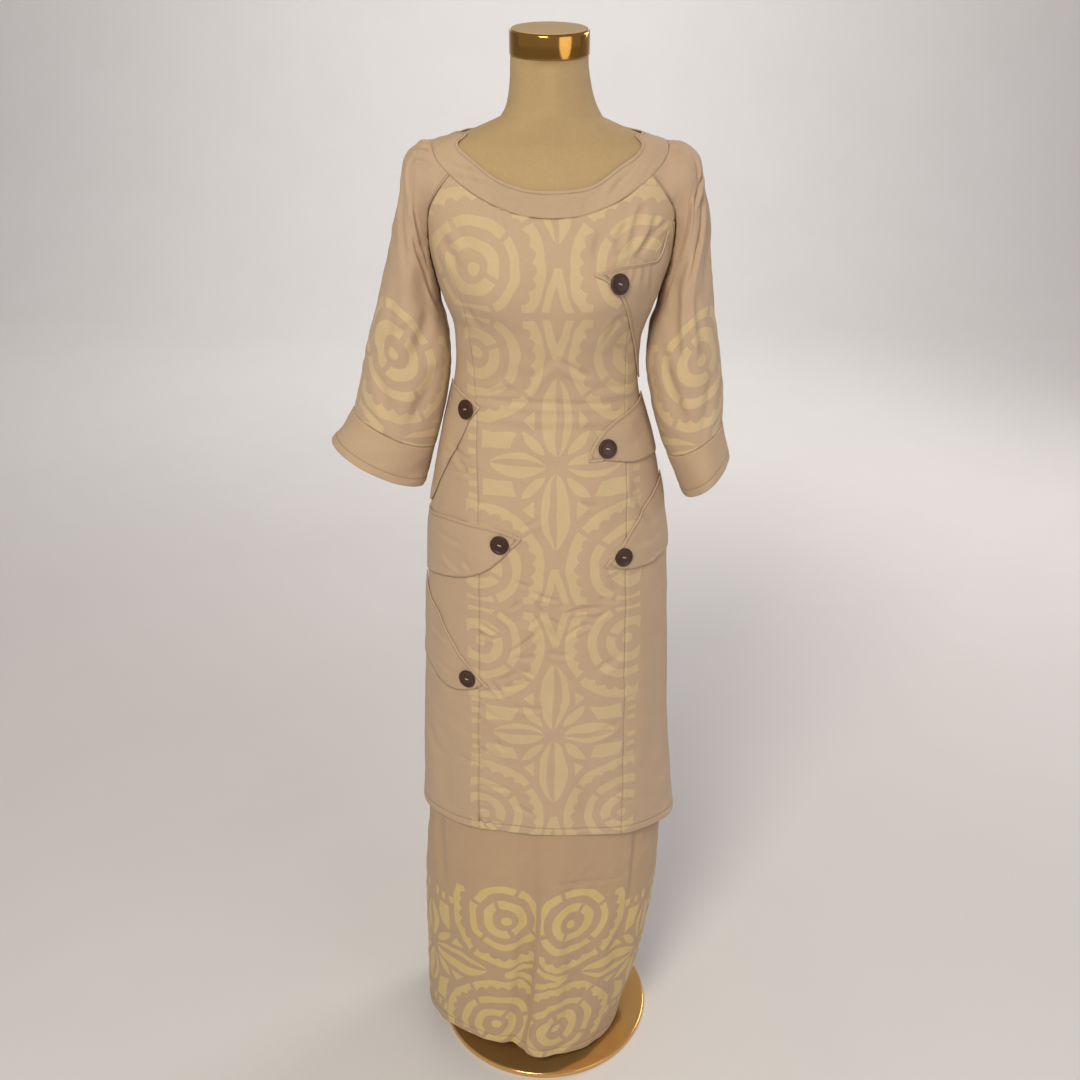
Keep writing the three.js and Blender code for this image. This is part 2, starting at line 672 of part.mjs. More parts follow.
// A round button with a dished face and two holes, its back on the plane through its origin.
function buttonGeometry() {
  const { radius, thick, dish, rim, hole, holeApart } = BUTTON;
  const profile = [
    [0, 0],
    [radius - 0.6, 0],
    [radius, 0.8],
    [radius, thick - 0.8],
    [radius - 0.9, thick],
    [radius - rim, thick - 0.1],
    [radius - rim - 1.2, thick - dish],
    [0, thick - dish],
  ];
  const disc = toSolid(new THREE.LatheGeometry(profile.map(([r, h]) => new THREE.Vector2(r, h)), 18));
  const drill = (x) => toSolid(new THREE.CylinderGeometry(hole, hole, 3 * thick, 8).translate(x, 0, 0));
  return toGeometry(disc.subtract(drill(-holeApart / 2)).subtract(drill(holeApart / 2)));
}

function buttonMesh({ side, button: [x, z], seat }) {
  const angle = frontAngle(side * x, z);
  const mesh = new THREE.Mesh(buttonGeometry());
  mesh.position.copy(offsetPoint(tunicPoint, angle, z, LIFT + TAB_WALL + seat));
  mesh.quaternion.setFromUnitVectors(new THREE.Vector3(0, 1, 0), normalOf(tunicPoint, angle, z));
  return mesh;
}

function formRings() {
  const across = 36;
  const turns = spread(0, 2 * Math.PI, across + 1).slice(0, -1);
  const low = evenLevels([[FORM_BOTTOM], [706, 1], [722, 1], [760, 1], [1000, 3], [BAND_BOTTOM, 2]]);
  const zs = [...low, ...evenLevels([[WAIST], [1320, 7], [1410, 4], [1437, 2], [1467, 3]])];
  const body = zs.map((z) => turns.map((a) => formPoint(a, z)));
  const neck = NECK.map(({ z }) => turns.map((a) => sectionPoint(NECK, a, z)));
  const under = neckTop(-0.35);
  return [...body, ...neck, turns.map((a) => capPoint(48, under, a))];
}

// The neck cap leans forward, so its circles lie in a tilted plane.
const neckTop = (above) => NECK_TOP + above;
function capPoint(radius, level, angle) {
  const lean = rad(CAP.tilt);
  const reach = radius * Math.cos(angle);
  return new THREE.Vector3(radius * Math.sin(angle), -reach * Math.cos(lean), level - reach * Math.sin(lean));
}

function capRings(profile) {
  const turns = spread(0, 2 * Math.PI, 33).slice(0, -1);
  return profile.map(([radius, level]) => turns.map((a) => capPoint(radius, level, a)));
}

const lathe = (profile, segments) => {
  const geometry = new THREE.LatheGeometry(
    profile.map(([r, h]) => new THREE.Vector2(r, h)),
    segments,
  );
  return geometry.rotateX(Math.PI / 2);
};

function baseGeometry() {
  const { radius, thick, edge } = BASE;
  return lathe(
    [
      [0, 0],
      [radius - 1, 0],
      [radius, 1.5],
      [radius, thick - edge],
      [radius - 1, thick - 1],
      [radius - edge, thick],
      [0, thick],
    ],
    56,
  );
}

const POLE_TOP = FORM_BOTTOM - FLANGE.thick - 0.6;
const poleGeometry = () =>
  lathe(
    [
      [0, BASE.thick + 0.3],
      [POLE_RADIUS, BASE.thick + 0.3],
      [POLE_RADIUS, POLE_TOP],
      [0, POLE_TOP],
    ],
    20,
  );

// The collar where the pole meets the base, a ring that stands clear of both.
const hubGeometry = () =>
  lathe(
    [
      [POLE_RADIUS + 0.4, BASE.thick + 0.3],
      [HUB.radius, BASE.thick + 0.3],
      [HUB.radius, BASE.thick + 5],
      [POLE_RADIUS + 5, BASE.thick + 10],
      [POLE_RADIUS + 4, BASE.thick + HUB.height],
      [POLE_RADIUS + 0.4, BASE.thick + HUB.height],
      [POLE_RADIUS + 0.4, BASE.thick + 0.3],
    ],
    28,
  );

const flangeGeometry = () =>
  lathe(
    [
      [0, FORM_BOTTOM - 0.3 - FLANGE.thick],
      [FLANGE.radius, FORM_BOTTOM - 0.3 - FLANGE.thick],
      [FLANGE.radius, FORM_BOTTOM - 0.3],
      [0, FORM_BOTTOM - 0.3],
    ],
    32,
  );

const finish = (color, roughness, metalness = 0) =>
  new THREE.MeshStandardMaterial({ color, roughness, metalness });
const cotton = finish(0xc3a78a, 0.85);
const printed = finish(0xc9ae86, 0.85);
const linen = finish(0xc4a878, 0.9);
const gold = finish(0xb8892f, 0.15, 1);
const coconut = finish(0x3d261b, 0.4);

const puletasi = new THREE.Group();

function add(name, geometry, material) {
  const mesh = geometry.isMesh ? geometry : new THREE.Mesh(geometry);
  mesh.name = name;
  mesh.material = material;
  puletasi.add(mesh);
}

// Tunic
add("front", wallGeometry(frontRows(), WALL), printed);
add("side_front_right", wallGeometry(sideRows(-1), WALL), cotton);
add("side_front_left", wallGeometry(sideRows(1), WALL), cotton);
add("back", wallGeometry(backRows(), WALL), cotton);
add("neckband", wallGeometry(neckbandRows(), WALL, true), cotton);
add("sleeve_right", wallGeometry(sleeveRows(SLEEVE_RIGHT, -1), WALL), printed);
add("sleeve_left", wallGeometry(sleeveRows(SLEEVE_LEFT, 1), WALL), printed);
add("cuff_right", wallGeometry(cuffRows(SLEEVE_RIGHT, -1), WALL, true), cotton);
add("cuff_left", wallGeometry(cuffRows(SLEEVE_LEFT, 1), WALL, true), cotton);
for (const [name, tab] of Object.entries(TABS)) {
  add(name, tabGeometry(tab), cotton);
  add(name.replace("tab", "button"), buttonMesh(tab), coconut);
}

// Skirt
add("skirt_front", wallGeometry(skirtRows(-89.9, 89.9, 19), WALL), printed);
add("skirt_back", wallGeometry(skirtRows(90.1, 269.9, 19), WALL), printed);
add("waistband", wallGeometry(waistbandRows(), WALL, true), cotton);

// Dress form
add("form_torso", solidGeometry(formRings()), linen);
add(
  "neck_cap",
  solidGeometry(
    capRings([
      [CAP.radius - 0.8, neckTop(0)],
      [CAP.radius, neckTop(1)],
      [CAP.radius, neckTop(CAP.rise - 1.5)],
      [CAP.radius - 1.5, neckTop(CAP.rise)],
    ]),
  ),
  gold,
);
add(
  "neck_lid",
  solidGeometry(
    capRings([
      [CAP.radius - 2.5, neckTop(CAP.rise + 0.3)],
      [CAP.radius - 2.5, neckTop(CAP.rise + 1.3)],
      [CAP.radius - 6, neckTop(CAP.rise + CAP.lid)],
    ]),
  ),
  linen,
);
add("form_flange", flangeGeometry(), linen);
add("pole", poleGeometry(), gold);
add("pole_collar", hubGeometry(), gold);
add("base", baseGeometry(), gold);

export default puletasi;
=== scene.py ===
"""Looks of the puletasi on its dress form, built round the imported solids.

Metres, +Z up. The front faces -Y.
"""

import math
from functools import partialmethod

import bpy
import numpy as np
from mathutils import Matrix, Vector
from mathutils.geometry import delaunay_2d_cdt


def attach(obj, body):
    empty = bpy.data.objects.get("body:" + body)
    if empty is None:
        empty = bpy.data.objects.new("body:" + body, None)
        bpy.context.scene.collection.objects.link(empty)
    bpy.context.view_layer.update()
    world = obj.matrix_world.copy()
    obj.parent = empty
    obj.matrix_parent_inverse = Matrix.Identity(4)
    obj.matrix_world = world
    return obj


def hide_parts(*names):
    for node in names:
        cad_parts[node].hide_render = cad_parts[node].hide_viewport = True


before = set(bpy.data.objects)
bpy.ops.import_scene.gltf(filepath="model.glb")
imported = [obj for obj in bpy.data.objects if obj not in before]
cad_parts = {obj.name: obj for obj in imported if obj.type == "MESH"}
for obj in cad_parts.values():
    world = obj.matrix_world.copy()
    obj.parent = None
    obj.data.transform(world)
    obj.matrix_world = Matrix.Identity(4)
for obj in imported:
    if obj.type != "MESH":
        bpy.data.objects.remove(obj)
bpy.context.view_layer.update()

# Sizes below are in millimetres, the same as the solids'. Meshes are scaled to metres when they are made.
MM = 0.001
SEAM = 0.7
CLOTH = 1.2  # thickness of the visual cloth
TIGHT = 0.15  # the visual seams' gap, as a share of half the solids' gap
LIFT = 2.1  # a tab's face above the panel
SKIRT_EASE = 2.2  # the skirt's outer face off the form, where the form carries it
LOWEST = 400  # level of the tunic's lowest section, which is bent to the hem
HEM_FREE = 520  # the tunic's hem bends no level above this
SKIRT_FREE = 377  # the skirt's hem bends no level above this
TUNIC_TURN, SKIRT_TURN, CUFF_TURN = 12, 14, 11  # depth of the turned-up hems
UNDERARM = 1235
WAIST = 1112
BAND_BOTTOM = 1086
SQUARE = 2.25  # exponent of every cross-section, 2 for an ellipse
NECK_TOP = 1537
FORM_BOTTOM = 700
CAP_TILT = 9
BASE_RADIUS = 175
BASE_THICK = 9
TAB_ARC = 150  # a tab's plan has this many millimetres for each radian
TAB_STEPS = 12  # places along each stretch of a tab's outline
UNSTITCHED = 900.0  # a distance at which no stitched line shows


def table(names, rows):
    return dict(zip(names.split(), np.array(rows, float).T, strict=True))


TUNIC = table(
    "z half front back shift",
    [
        (400, 202, 143, 139, 4), (430, 200, 142, 138, 4), (520, 193, 140, 136, 2),
        (620, 187, 138, 134, 0), (700, 183, 136, 132, 1), (800, 177, 133, 131, 1),
        (900, 171, 128, 129, 1), (960, 164, 122, 122, 0), (1000, 157, 116, 112, 0),
        (1060, 143, 106, 97, -1), (1110, 129, 99, 88, -3), (1150, 123, 100, 86, -2),
        (1180, 123, 105, 88, -1), (1210, 128, 112, 93, 1), (1250, 143, 119, 101, 2),
        (1290, 156, 117, 107, 3), (1320, 163, 108, 108, 4), (1350, 168, 96, 105, 4),
        (1384, 171, 80, 97, 3), (1410, 168, 71, 88, 2), (1425, 160, 65, 80, 2),
        (1437, 147, 61, 74, 2), (1446, 120, 57, 68, 3), (1456, 92, 53, 62, 3),
        (1467, 66, 50, 56, 3),
    ],
)
BUST = {"x": 74, "z": 1262, "rise": 15, "wide": 44, "tall": 44}
INSET = table(
    "z in",
    [
        (700, 78), (706, 58), (722, 44), (760, 31), (800, 23), (860, 17), (900, 15),
        (1000, 15), (1060, 14), (1110, 12), (1150, 10), (1210, 8), (1262, 4.5),
        (1300, 4.5), (1354, 3.6), (1384, 3.3), (1437, 3.4), (1467, 2.9),
    ],
)
NECK = table(
    "z half front back shift",
    [
        (1476, 57.5, 46, 50, 3), (1490, 53, 45, 47, 2),
        (1507, 50, 44.5, 45.5, 1), (1522, 48.5, 44, 44.5, 0),
    ],
)
SKIRT = table(
    "z half front back shift",
    [
        (0, 165, 158, 138, -37), (50, 168.5, 158, 139, -32), (96, 174.5, 157, 140, -26.5),
        (145, 181, 155, 140, -19), (296, 190, 150, 140, -8), (377, 188, 143, 137, -4),
        (450, 185, 137, 132, 0), (520, 182, 133, 129, 0), (620, 178, 130, 127, 0),
        (700, 175, 128, 125, 1), (800, 170, 126, 124, 1), (900, 164, 121, 122, 1),
        (1000, 151, 110, 106, 0), (1060, 135, 98, 89, -1), (1120, 122, 92, 82, -3),
    ],
)
SKIRT_FOLD = {"top": 620, "ridge": 5, "ridge_wide": 8, "valley": -5, "valley_wide": 4.5, "depth": 13}
SKIRT_HEM = table(
    "deg z",
    [
        (-180, 72), (-130, 52), (-95, 42), (-48, 56), (-25, 60), (-10, 55), (0, 45),
        (8, 37), (24, 27), (45, 19), (60, 18), (72, 30), (95, 85), (118, 106),
        (150, 92), (180, 72),
    ],
)
PRINCESS = table(
    "z right left",
    [
        (400, 101, 117), (490, 100, 115), (690, 96, 112), (845, 93, 109), (990, 93, 107),
        (1106, 95, 103), (1206, 102, 103), (1243, 108, 108), (1290, 126, 121),
        (1328, 145, 143), (1347, 153, 153),
    ],
)
RAGLAN_FRONT = table(
    "t deg z",
    [
        (0, 45, 1400), (0.2, 55, 1377), (0.33, 62, 1362), (0.45, 67, 1347),
        (0.65, 74, 1312), (0.85, 82, 1268), (1, 90, UNDERARM),
    ],
)
RAGLAN_BACK = table(
    "t deg z",
    [
        (0, 45, 1418), (0.2, 54, 1395), (0.45, 66, 1348),
        (0.65, 73, 1310), (0.85, 81, 1267), (1, 90, UNDERARM),
    ],
)
SLEEVE_COLUMNS = "t xo zo xi zi deep fore crease"
SLEEVES = {
    "right": table(
        SLEEVE_COLUMNS,
        [
            (0, 145, 1437.5, 118, 1398, 56, 0, 0), (0.2, 165, 1433, 140, 1377, 54, 0, 0),
            (0.4, 182, 1417, 150, 1355, 53, 0, 1), (0.6, 188, 1386, 150, 1320, 56, 0, 4),
            (0.8, 198, 1346, 148, 1280, 60, 1, 8), (1, 210, 1296, 143, UNDERARM, 63, 2, 9),
            (1.2, 224, 1246, 135, 1203, 65, 4, 8), (1.4, 237, 1202, 131, 1168, 65, 6, 6),
            (1.6, 248, 1160, 134, 1128, 64, 8, 4), (1.8, 257, 1124, 143, 1084, 62, 10, 2),
            (2, 266, 1092, 156, 1038, 60, 12, 1), (3, 298, 1046, 173, 982, 63, 15, 0),
        ],
    ),
    "left": table(
        SLEEVE_COLUMNS,
        [
            (0, 149, 1438, 122, 1398, 56, 0, 0), (0.2, 171, 1435, 144, 1377, 54, 0, 0),
            (0.4, 190, 1419, 154, 1355, 53, 0, 1), (0.6, 197, 1390, 154, 1320, 56, 0, 3),
            (0.8, 206, 1350, 152, 1280, 60, 1, 8), (1, 210, 1302, 146, UNDERARM, 64, 2, 10),
            (1.2, 217, 1252, 137, 1203, 66, 6, 9), (1.4, 224, 1206, 133, 1166, 66, 10, 7),
            (1.6, 232, 1162, 137, 1126, 64, 14, 5), (1.8, 238, 1118, 147, 1080, 62, 18, 3),
            (2, 239, 1080, 164, 1032, 60, 22, 1), (3, 250, 1028, 190, 974, 60, 28, 0),
        ],
    ),
}
CREASE_DEG = 118
CREASE_WIDE = 20
PRINCESS_END = 0.44

# The tabs: wearer's side, button, its clearance, and the two edges from the side seam to the tip.
# Plain is how many points of the lower edge lie in the armhole and side seam, with no piping. Where it
# isn't given, only the last stretch of the lower edge, at the tip, has piping.
TABS = {
    "bust": {
        "side": 1,
        "button": (86, 1279),
        "seat": -0.2,
        "upper": [
            (148, 1334), (143, 1314), (135, 1301), (124, 1300),
            (108, 1299), (94, 1299), (76, 1296), (56, 1290),
        ],
        "plain": 5,
        "lower": [
            (151, 1312), (140, 1264), (133, 1226), (142, 1190), (142, 1112),
            (124, 1126), (110, 1196), (94, 1254), (76, 1280), (56, 1290),
        ],
    },
    "waist_right": {
        "side": -1,
        "button": (106, 1104),
        "seat": 1.1,
        "upper": [(160, 1129), (130, 1127), (120, 1126), (110, 1121), (100, 1116), (90, 1109)],
        "lower": [(180, 948), (163, 957), (146, 1000), (128, 1040), (113, 1068), (101, 1094), (90, 1109)],
    },
    "waist_left": {
        "side": 1,
        "button": (78, 1059),
        "seat": 0.4,
        "upper": [
            (160, 1122), (135, 1114), (115, 1105), (96, 1096),
            (80, 1086), (68, 1074), (59, 1060), (54, 1044),
        ],
        "lower": [
            (170, 1030), (150, 1031), (136, 1034), (123, 1035),
            (109, 1036), (94, 1040), (74, 1044), (54, 1044),
        ],
    },
    "hip_right": {
        "side": -1,
        "button": (63, 931),
        "seat": -0.2,
        "upper": [
            (185, 942), (163, 946), (148, 951), (131, 954),
            (108, 954), (84, 953), (57, 948), (35, 941),
        ],
        "lower": [
            (190, 846), (172, 854), (154, 863), (138, 868), (122, 872), (106, 878),
            (90, 886), (76, 896), (62, 910), (48, 926), (35, 941),
        ],
    },
    "hip_left": {
        "side": 1,
        "button": (103, 909),
        "seat": 0.4,
        "upper": [
            (180, 1010), (161, 997), (147, 986), (134, 971),
            (121, 954), (108, 935), (94, 916), (78, 898),
        ],
        "lower": [
            (190, 892), (172, 892), (155, 890), (139, 888),
            (123, 888), (107, 891), (92, 895), (78, 898),
        ],
    },
    "thigh_right": {
        "side": -1,
        "button": (111, 720),
        "seat": 0,
        "upper": [
            (190, 850), (172, 834), (160, 815), (146, 792),
            (132, 769), (118, 749), (100, 729), (82, 711),
        ],
        "lower": [
            (200, 742), (182, 722), (165, 706), (148, 698),
            (131, 696), (114, 701), (98, 707), (82, 711),
        ],
    },
}


# The shape of the cloth and of the form.
def spread(first, second):
    """The two as numbers in arrays of one shape."""
    return np.broadcast_arrays(np.asarray(first, float), np.asarray(second, float))


def read(rows, name, at):
    """A smooth curve through a table's column, read at values of its first column."""
    keys = next(iter(rows.values()))
    column = rows[name]
    last = len(keys) - 1
    at = np.asarray(at, float)
    i = np.clip(np.searchsorted(keys[1:], at), 0, last - 1)
    before, after = np.maximum(i - 1, 0), np.minimum(i + 2, last)
    span = keys[i + 1] - keys[i]
    u = np.clip((at - keys[i]) / span, 0, 1)
    low = (column[i + 1] - column[before]) / (keys[i + 1] - keys[before])
    high = (column[after] - column[i]) / (keys[after] - keys[i])
    even = (column[i + 1] - column[i]) / span
    low = np.where(i > 0, low, even) * span
    high = np.where(i < last - 1, high, even) * span
    start = (2 * u**3 - 3 * u**2 + 1) * column[i] + (u**3 - 2 * u**2 + u) * low
    return start + (3 * u**2 - 2 * u**3) * column[i + 1] + (u**3 - u**2) * high


def smooth(low, high, at):
    u = np.clip((np.asarray(at, float) - low) / (high - low), 0, 1)
    return u * u * (3 - 2 * u)


def bump(distance, width):
    return np.exp(-((np.asarray(distance) / width) ** 2))


def power(value):
    return np.sign(value) * np.abs(value) ** (2 / SQUARE)


def section(rows, angle, z):
    """Points of a cross-section at angles from the front, turning towards +X."""
    angle, z = spread(angle, z)
    across, along = power(np.sin(angle)), power(np.cos(angle))
    depth = np.where(along > 0, read(rows, "front", z), read(rows, "back", z))
    x = read(rows, "shift", z) + read(rows, "half", z) * across
    return np.stack([x, -depth * along, z], -1)


def tunic(angle, z):
    p = section(TUNIC, angle, z)
    height = bump(p[..., 2] - BUST["z"], BUST["tall"]) * np.sqrt(np.clip(np.cos(angle), 0, 1))
    both = bump(p[..., 0] - BUST["x"], BUST["wide"]) + bump(p[..., 0] + BUST["x"], BUST["wide"])
    p[..., 1] -= BUST["rise"] * height * both
    return p


def unit(vectors):
    return vectors / np.maximum(np.linalg.norm(vectors, axis=-1, keepdims=True), 1e-9)


def normal_of(surface, angle, z):
    across = surface(angle + 0.004, z) - surface(angle - 0.004, z)
    up = surface(angle, z + 0.6) - surface(angle, z - 0.6)
    return unit(np.cross(across, up))


def off_surface(surface, angle, z, distance):
    angle, z = spread(angle, z)
    return surface(angle, z) + normal_of(surface, angle, z) * np.asarray(distance)[..., None]


def form(angle, z):
    angle, z = spread(angle, z)
    p = off_surface(tunic, angle, z, -read(INSET, "in", z))
    p[..., 2] = np.where(z < 1150, z, p[..., 2])
    return p


def skirt(angle, z):
    angle, z = spread(angle, z)
    p = section(SKIRT, angle, z)
    low = 1 - smooth(60, SKIRT_FOLD["top"], z)
    turn = np.degrees(np.arctan2(np.sin(angle), np.cos(angle)))
    ridge = bump(turn - SKIRT_FOLD["ridge"], SKIRT_FOLD["ridge_wide"])
    valley = bump(turn - SKIRT_FOLD["valley"], SKIRT_FOLD["valley_wide"])
    p[..., 1] -= SKIRT_FOLD["depth"] * low * (ridge - valley)
    worn = smooth(1000, BAND_BOTTOM, z)[..., None]
    return p * (1 - worn) + off_surface(form, angle, z, SKIRT_EASE) * worn


def front_angle(x, z):
    """The angle at which the tunic's front lies x from the pole's axis."""
    off = x - read(TUNIC, "shift", z)
    share = np.minimum(np.abs(off) / read(TUNIC, "half", z), 1)
    return np.sign(off) * np.arcsin(share ** (SQUARE / 2))


def neckline(a):
    return 1409 - 19.4 * np.cos(a) - 29 * np.cos(2 * a) - 6.6 * np.cos(3 * a)


def band_rise(a):
    return 26.9 + 10.5 * np.cos(2 * a) - 7.4 * np.cos(4 * a)


def tunic_hem(a):
    return 445 + 14 * np.cos(a) - 9 * np.sin(a) + 6 * np.cos(2 * a)


def skirt_hem(a):
    return read(SKIRT_HEM, "z", (np.degrees(a) + 180) % 360 - 180)


def seam_turn(z):
    return SEAM / 2 / read(TUNIC, "half", z)


def princess(side, z):
    column = "right" if side < 0 else "left"
    wobble = 0.004 * waves(z, 0 * z, 60, 17 + side) * (1 - smooth(1150, 1260, z))
    return side * front_angle(side * read(PRINCESS, column, z), z) + side * wobble


def bent(z, hem, free, lowest=0):
    """Levels below a free one, bent so that the lowest comes to the hem."""
    return np.where(z >= free, z, free - (free - z) * (free - hem) / (free - lowest))


def hemmed(angle, z):
    return bent(z, tunic_hem(angle), HEM_FREE, LOWEST)


def panel(z, start, end, across, seam):
    """Angles and levels of a tunic panel: a row for each level z, bent towards the neckline and the hem."""
    u = np.linspace(0, 1, across)[None, :]
    angle = start[:, None] * (1 - u) + end[:, None] * u
    bend = smooth(1170, 1400, z)[:, None]
    level = z[:, None] + bend * (neckline(angle) - neckline(seam)[:, None])
    first = (neckline(start) - neckline(seam))[:, None] * np.clip(1 - 2 * u, 0, 1) ** 6
    last = (neckline(end) - neckline(seam))[:, None] * np.clip(2 * u - 1, 0, 1) ** 6
    return angle, hemmed(angle, level - bend * (first + last))


def stations(raglan, step, stop=0.0):
    """Levels from the hem to the underarm and on up the raglan seam, with the seam's angle and place t."""
    fine = LOWEST + 26
    low = np.concatenate([np.arange(LOWEST, fine, 1.4), np.arange(fine, UNDERARM, step)])
    t = np.linspace(1, stop, max(int(175 * (1 - stop) / step), 2))
    z = np.concatenate([low, read(raglan, "z", t)])
    seam = np.concatenate([np.full(len(low), math.pi / 2), np.radians(read(raglan, "deg", t))])
    return z, seam, np.concatenate([np.full(len(low), 2.0), t])


def sleeve_half(rows, side, t, share, back):
    outer_x, outer_z = side * read(rows, "xo", t), read(rows, "zo", t)
    inner_x, inner_z = side * read(rows, "xi", t), read(rows, "zi", t)
    seam_z = np.where(back, read(RAGLAN_BACK, "z", t), read(RAGLAN_FRONT, "z", t))
    seam_deg = np.where(back, read(RAGLAN_BACK, "deg", t), read(RAGLAN_FRONT, "deg", t))
    off = np.radians(seam_deg) + TIGHT * seam_turn(seam_z)
    end = tunic(side * np.where(back, math.pi - off, off), seam_z)
    below = smooth(0.82, 1, t)
    deep = read(rows, "deep", t)
    reach = np.clip(np.abs(end[..., 1]) / deep, 1e-4, 1)
    first, second = np.arcsin(reach), math.pi - np.arcsin(reach)
    turn = first + (second - first) * smooth(0.02, 0.14, t)
    turn = math.radians(80) + (turn - math.radians(80)) * smooth(0, 0.3, t)
    turn = np.where(t >= 1, math.pi, turn)
    end_x = end[..., 0] * (1 - below) + inner_x * below
    end_z = end[..., 2] * (1 - below) + inner_z * below
    psi = turn * share
    along = (1 - np.cos(psi)) / (1 - np.cos(turn))
    deep = np.where(t >= 1, deep, np.abs(end[..., 1]) / np.maximum(np.sin(turn), 1e-4))
    middle = read(rows, "fore", t) * below
    y = np.where(back, deep, -deep) * np.sin(psi)
    y = y - middle * smooth(0, 1, np.minimum(share, 1 - share) * 4 + below)
    y = y + np.where(back, 0, read(rows, "crease", t) * bump(np.degrees(psi) - CREASE_DEG, CREASE_WIDE))
    x = outer_x + (end_x - outer_x) * along
    z = outer_z + (end_z - outer_z) * along
    return np.stack([x, y, z], -1)


def sleeve(name, t, u):
    """Points of a sleeve: t runs from the neckband to the cuff's hem, u from -1 in front to 1 behind."""
    rows, side = SLEEVES[name], -1 if name == "right" else 1
    t, u = spread(t, u)
    back, share = u > 0, np.abs(u)
    p = sleeve_half(rows, side, t, share, back)
    first = sleeve_half(rows, side, np.zeros_like(t), share, back)
    seam_z = np.where(back, RAGLAN_BACK["z"][0], RAGLAN_FRONT["z"][0])
    corner = math.radians(45) + TIGHT * seam_turn(seam_z)
    turn = math.pi / 2 + (corner - math.pi / 2) * share
    angle = side * np.where(back, math.pi - turn, turn)
    fade = np.maximum(0, 1 - t / 0.3)[..., None] ** 2
    return p + (tunic(angle, neckline(angle) - 0.2) - first) * fade


# Folds in the cloth.
def waves(u, v, length, seed, stretch=1.0):
    """Soft uneven ripples from -1 to 1, about one length apart, the same on every run."""
    pick = np.random.default_rng(seed)
    total = 0
    for _ in range(7):
        turn, start = pick.uniform(0, math.pi), pick.uniform(0, 2 * math.pi)
        rate = 2 * math.pi / (length * pick.uniform(0.7, 1.6))
        total = total + np.sin(rate * (u * math.cos(turn) * stretch + v * math.sin(turn)) + start)
    return total / 3.6


# Creases, seen from the front: x and z at both ends, width, depth and bow.
FRONT_CREASES = [
    (12, 1183, 57, 1155, 4, 3.2, 2), (14, 1178, -31, 1119, 5, -2, 2),
    (-104, 1122, 126, 1114, 4, 2.4, -3), (-98, 1102, 110, 1096, 6, -1.8, 2),
    (-40, 1140, -80, 1128, 5, 1.8, 2), (60, 1140, 112, 1132, 5, 2, -2),
    (-44, 878, -22, 872, 2.6, 3.2, 1), (-24, 866, 19, 851, 2.8, 3.6, 2),
    (30, 835, 76, 836, 3, 4.6, -2), (16, 844, 38, 845, 2.6, 2.2, 1),
    (-52, 835, -36, 851, 2.8, 2.6, 1), (-15, 848, 1, 823, 2.8, 3, 2),
    (1, 826, 21, 814, 2.8, 3.4, 1), (-64, 832, -43, 814, 2.8, 3.2, 1),
    (-53, 769, -8, 811, 3.2, 3.6, 3), (25, 794, 62, 815, 3.2, 3.4, -3),
    (-98, 815, -65, 796, 3, 3, 2), (-99, 796, -65, 791, 3, 2.4, 2),
    (-25, 811, -6, 833, 3, 2.2, 1), (1, 808, 21, 787, 3.2, 2, 1),
    (63, 821, 82, 830, 3.2, 2.4, 2), (73, 853, 101, 844, 2.8, 2.6, 2),
    (83, 887, 102, 869, 3, 2.4, 2), (-69, 722, -42, 742, 2.8, 3, 2),
    (-64, 713, -29, 724, 3, 2.4, 2), (-44, 763, -10, 769, 3.2, 2.2, 2),
    (1, 773, 34, 769, 3.2, 2.4, 2), (-37, 746, -14, 736, 3.4, 2.4, 2),
    (-74, 626, -60, 610, 3, 3, 1), (-50, 685, -4, 682, 3.4, 2.4, 2),
    (45, 991, 68, 982, 3, 2.4, 1), (-36, 955, -8, 971, 3.2, 2.2, 2),
    (-104, 985, -84, 985, 2.8, 2.4, 1), (-126, 1049, -103, 1039, 2.6, 2.6, 1),
    (-127, 1018, -98, 1022, 3, 2, 1), (-104, 490, -88, 466, 3, 3.2, 2),
    (-92, 487, -67, 466, 3, 2.6, 2), (-103, 545, -55, 545, 3.4, 2.2, 2),
    (98, 526, 136, 505, 3, 2.8, 2), (107, 536, 129, 518, 2.8, 2.4, 1),
    (-176, 611, -158, 569, 6, 2.4, 3), (-127, 583, -94, 580, 3.4, 2, 2),
    (-44, 517, -16, 500, 4, 2, 2), (-78, 722, -59, 695, 2.8, 3.6, 1),
    (-92, 676, -60, 660, 5, 2, 3), (66, 742, 108, 762, 6, 2.2, 3),
    (70, 640, 108, 652, 6, 1.8, 3), (-104, 610, -64, 596, 6, 1.8, 3),
    (-60, 1376, -44, 1338, 3.6, 2.2, 2), (-40, 1372, -50, 1336, 3.6, 2, 2),
    (-24, 1366, -4, 1332, 4, 1.8, 2), (28, 1368, 38, 1336, 4, 1.4, 2),
    (118, 1368, 104, 1316, 4.6, 5, 3), (134, 1356, 112, 1312, 4, 4, -3),
    (146, 1346, 112, 1308, 3.6, 4.2, 3), (102, 1350, 84, 1318, 4.6, 3.4, 3),
    (66, 1340, 58, 1304, 4.6, 2.2, 3), (92, 1304, 120, 1306, 3.2, 2.6, -2),
    (74, 1310, 112, 1312, 3.6, 2, -3), (-118, 1350, -86, 1312, 6, 2, 4),
    (-132, 1330, -104, 1288, 6, 2, 4), (-106, 1250, -82, 1216, 5, 2, 3),
    (96, 1240, 72, 1196, 5, 1.8, 3), (-112, 1074, -140, 1010, 5, 2.6, 3),
    (-128, 1056, -104, 1018, 3.6, 2.6, 3), (-138, 1040, -112, 1044, 4, 2, 2),
    (118, 1016, 150, 940, 7, 2.4, 5), (-150, 820, -168, 640, 10, 2.8, 8),
    (150, 800, 166, 560, 12, 2.8, -8), (-140, 620, -150, 480, 12, 2.6, 6),
    (-30, 660, -44, 470, 14, 2.4, 6), (48, 640, 60, 470, 16, 2.4, -6),
]
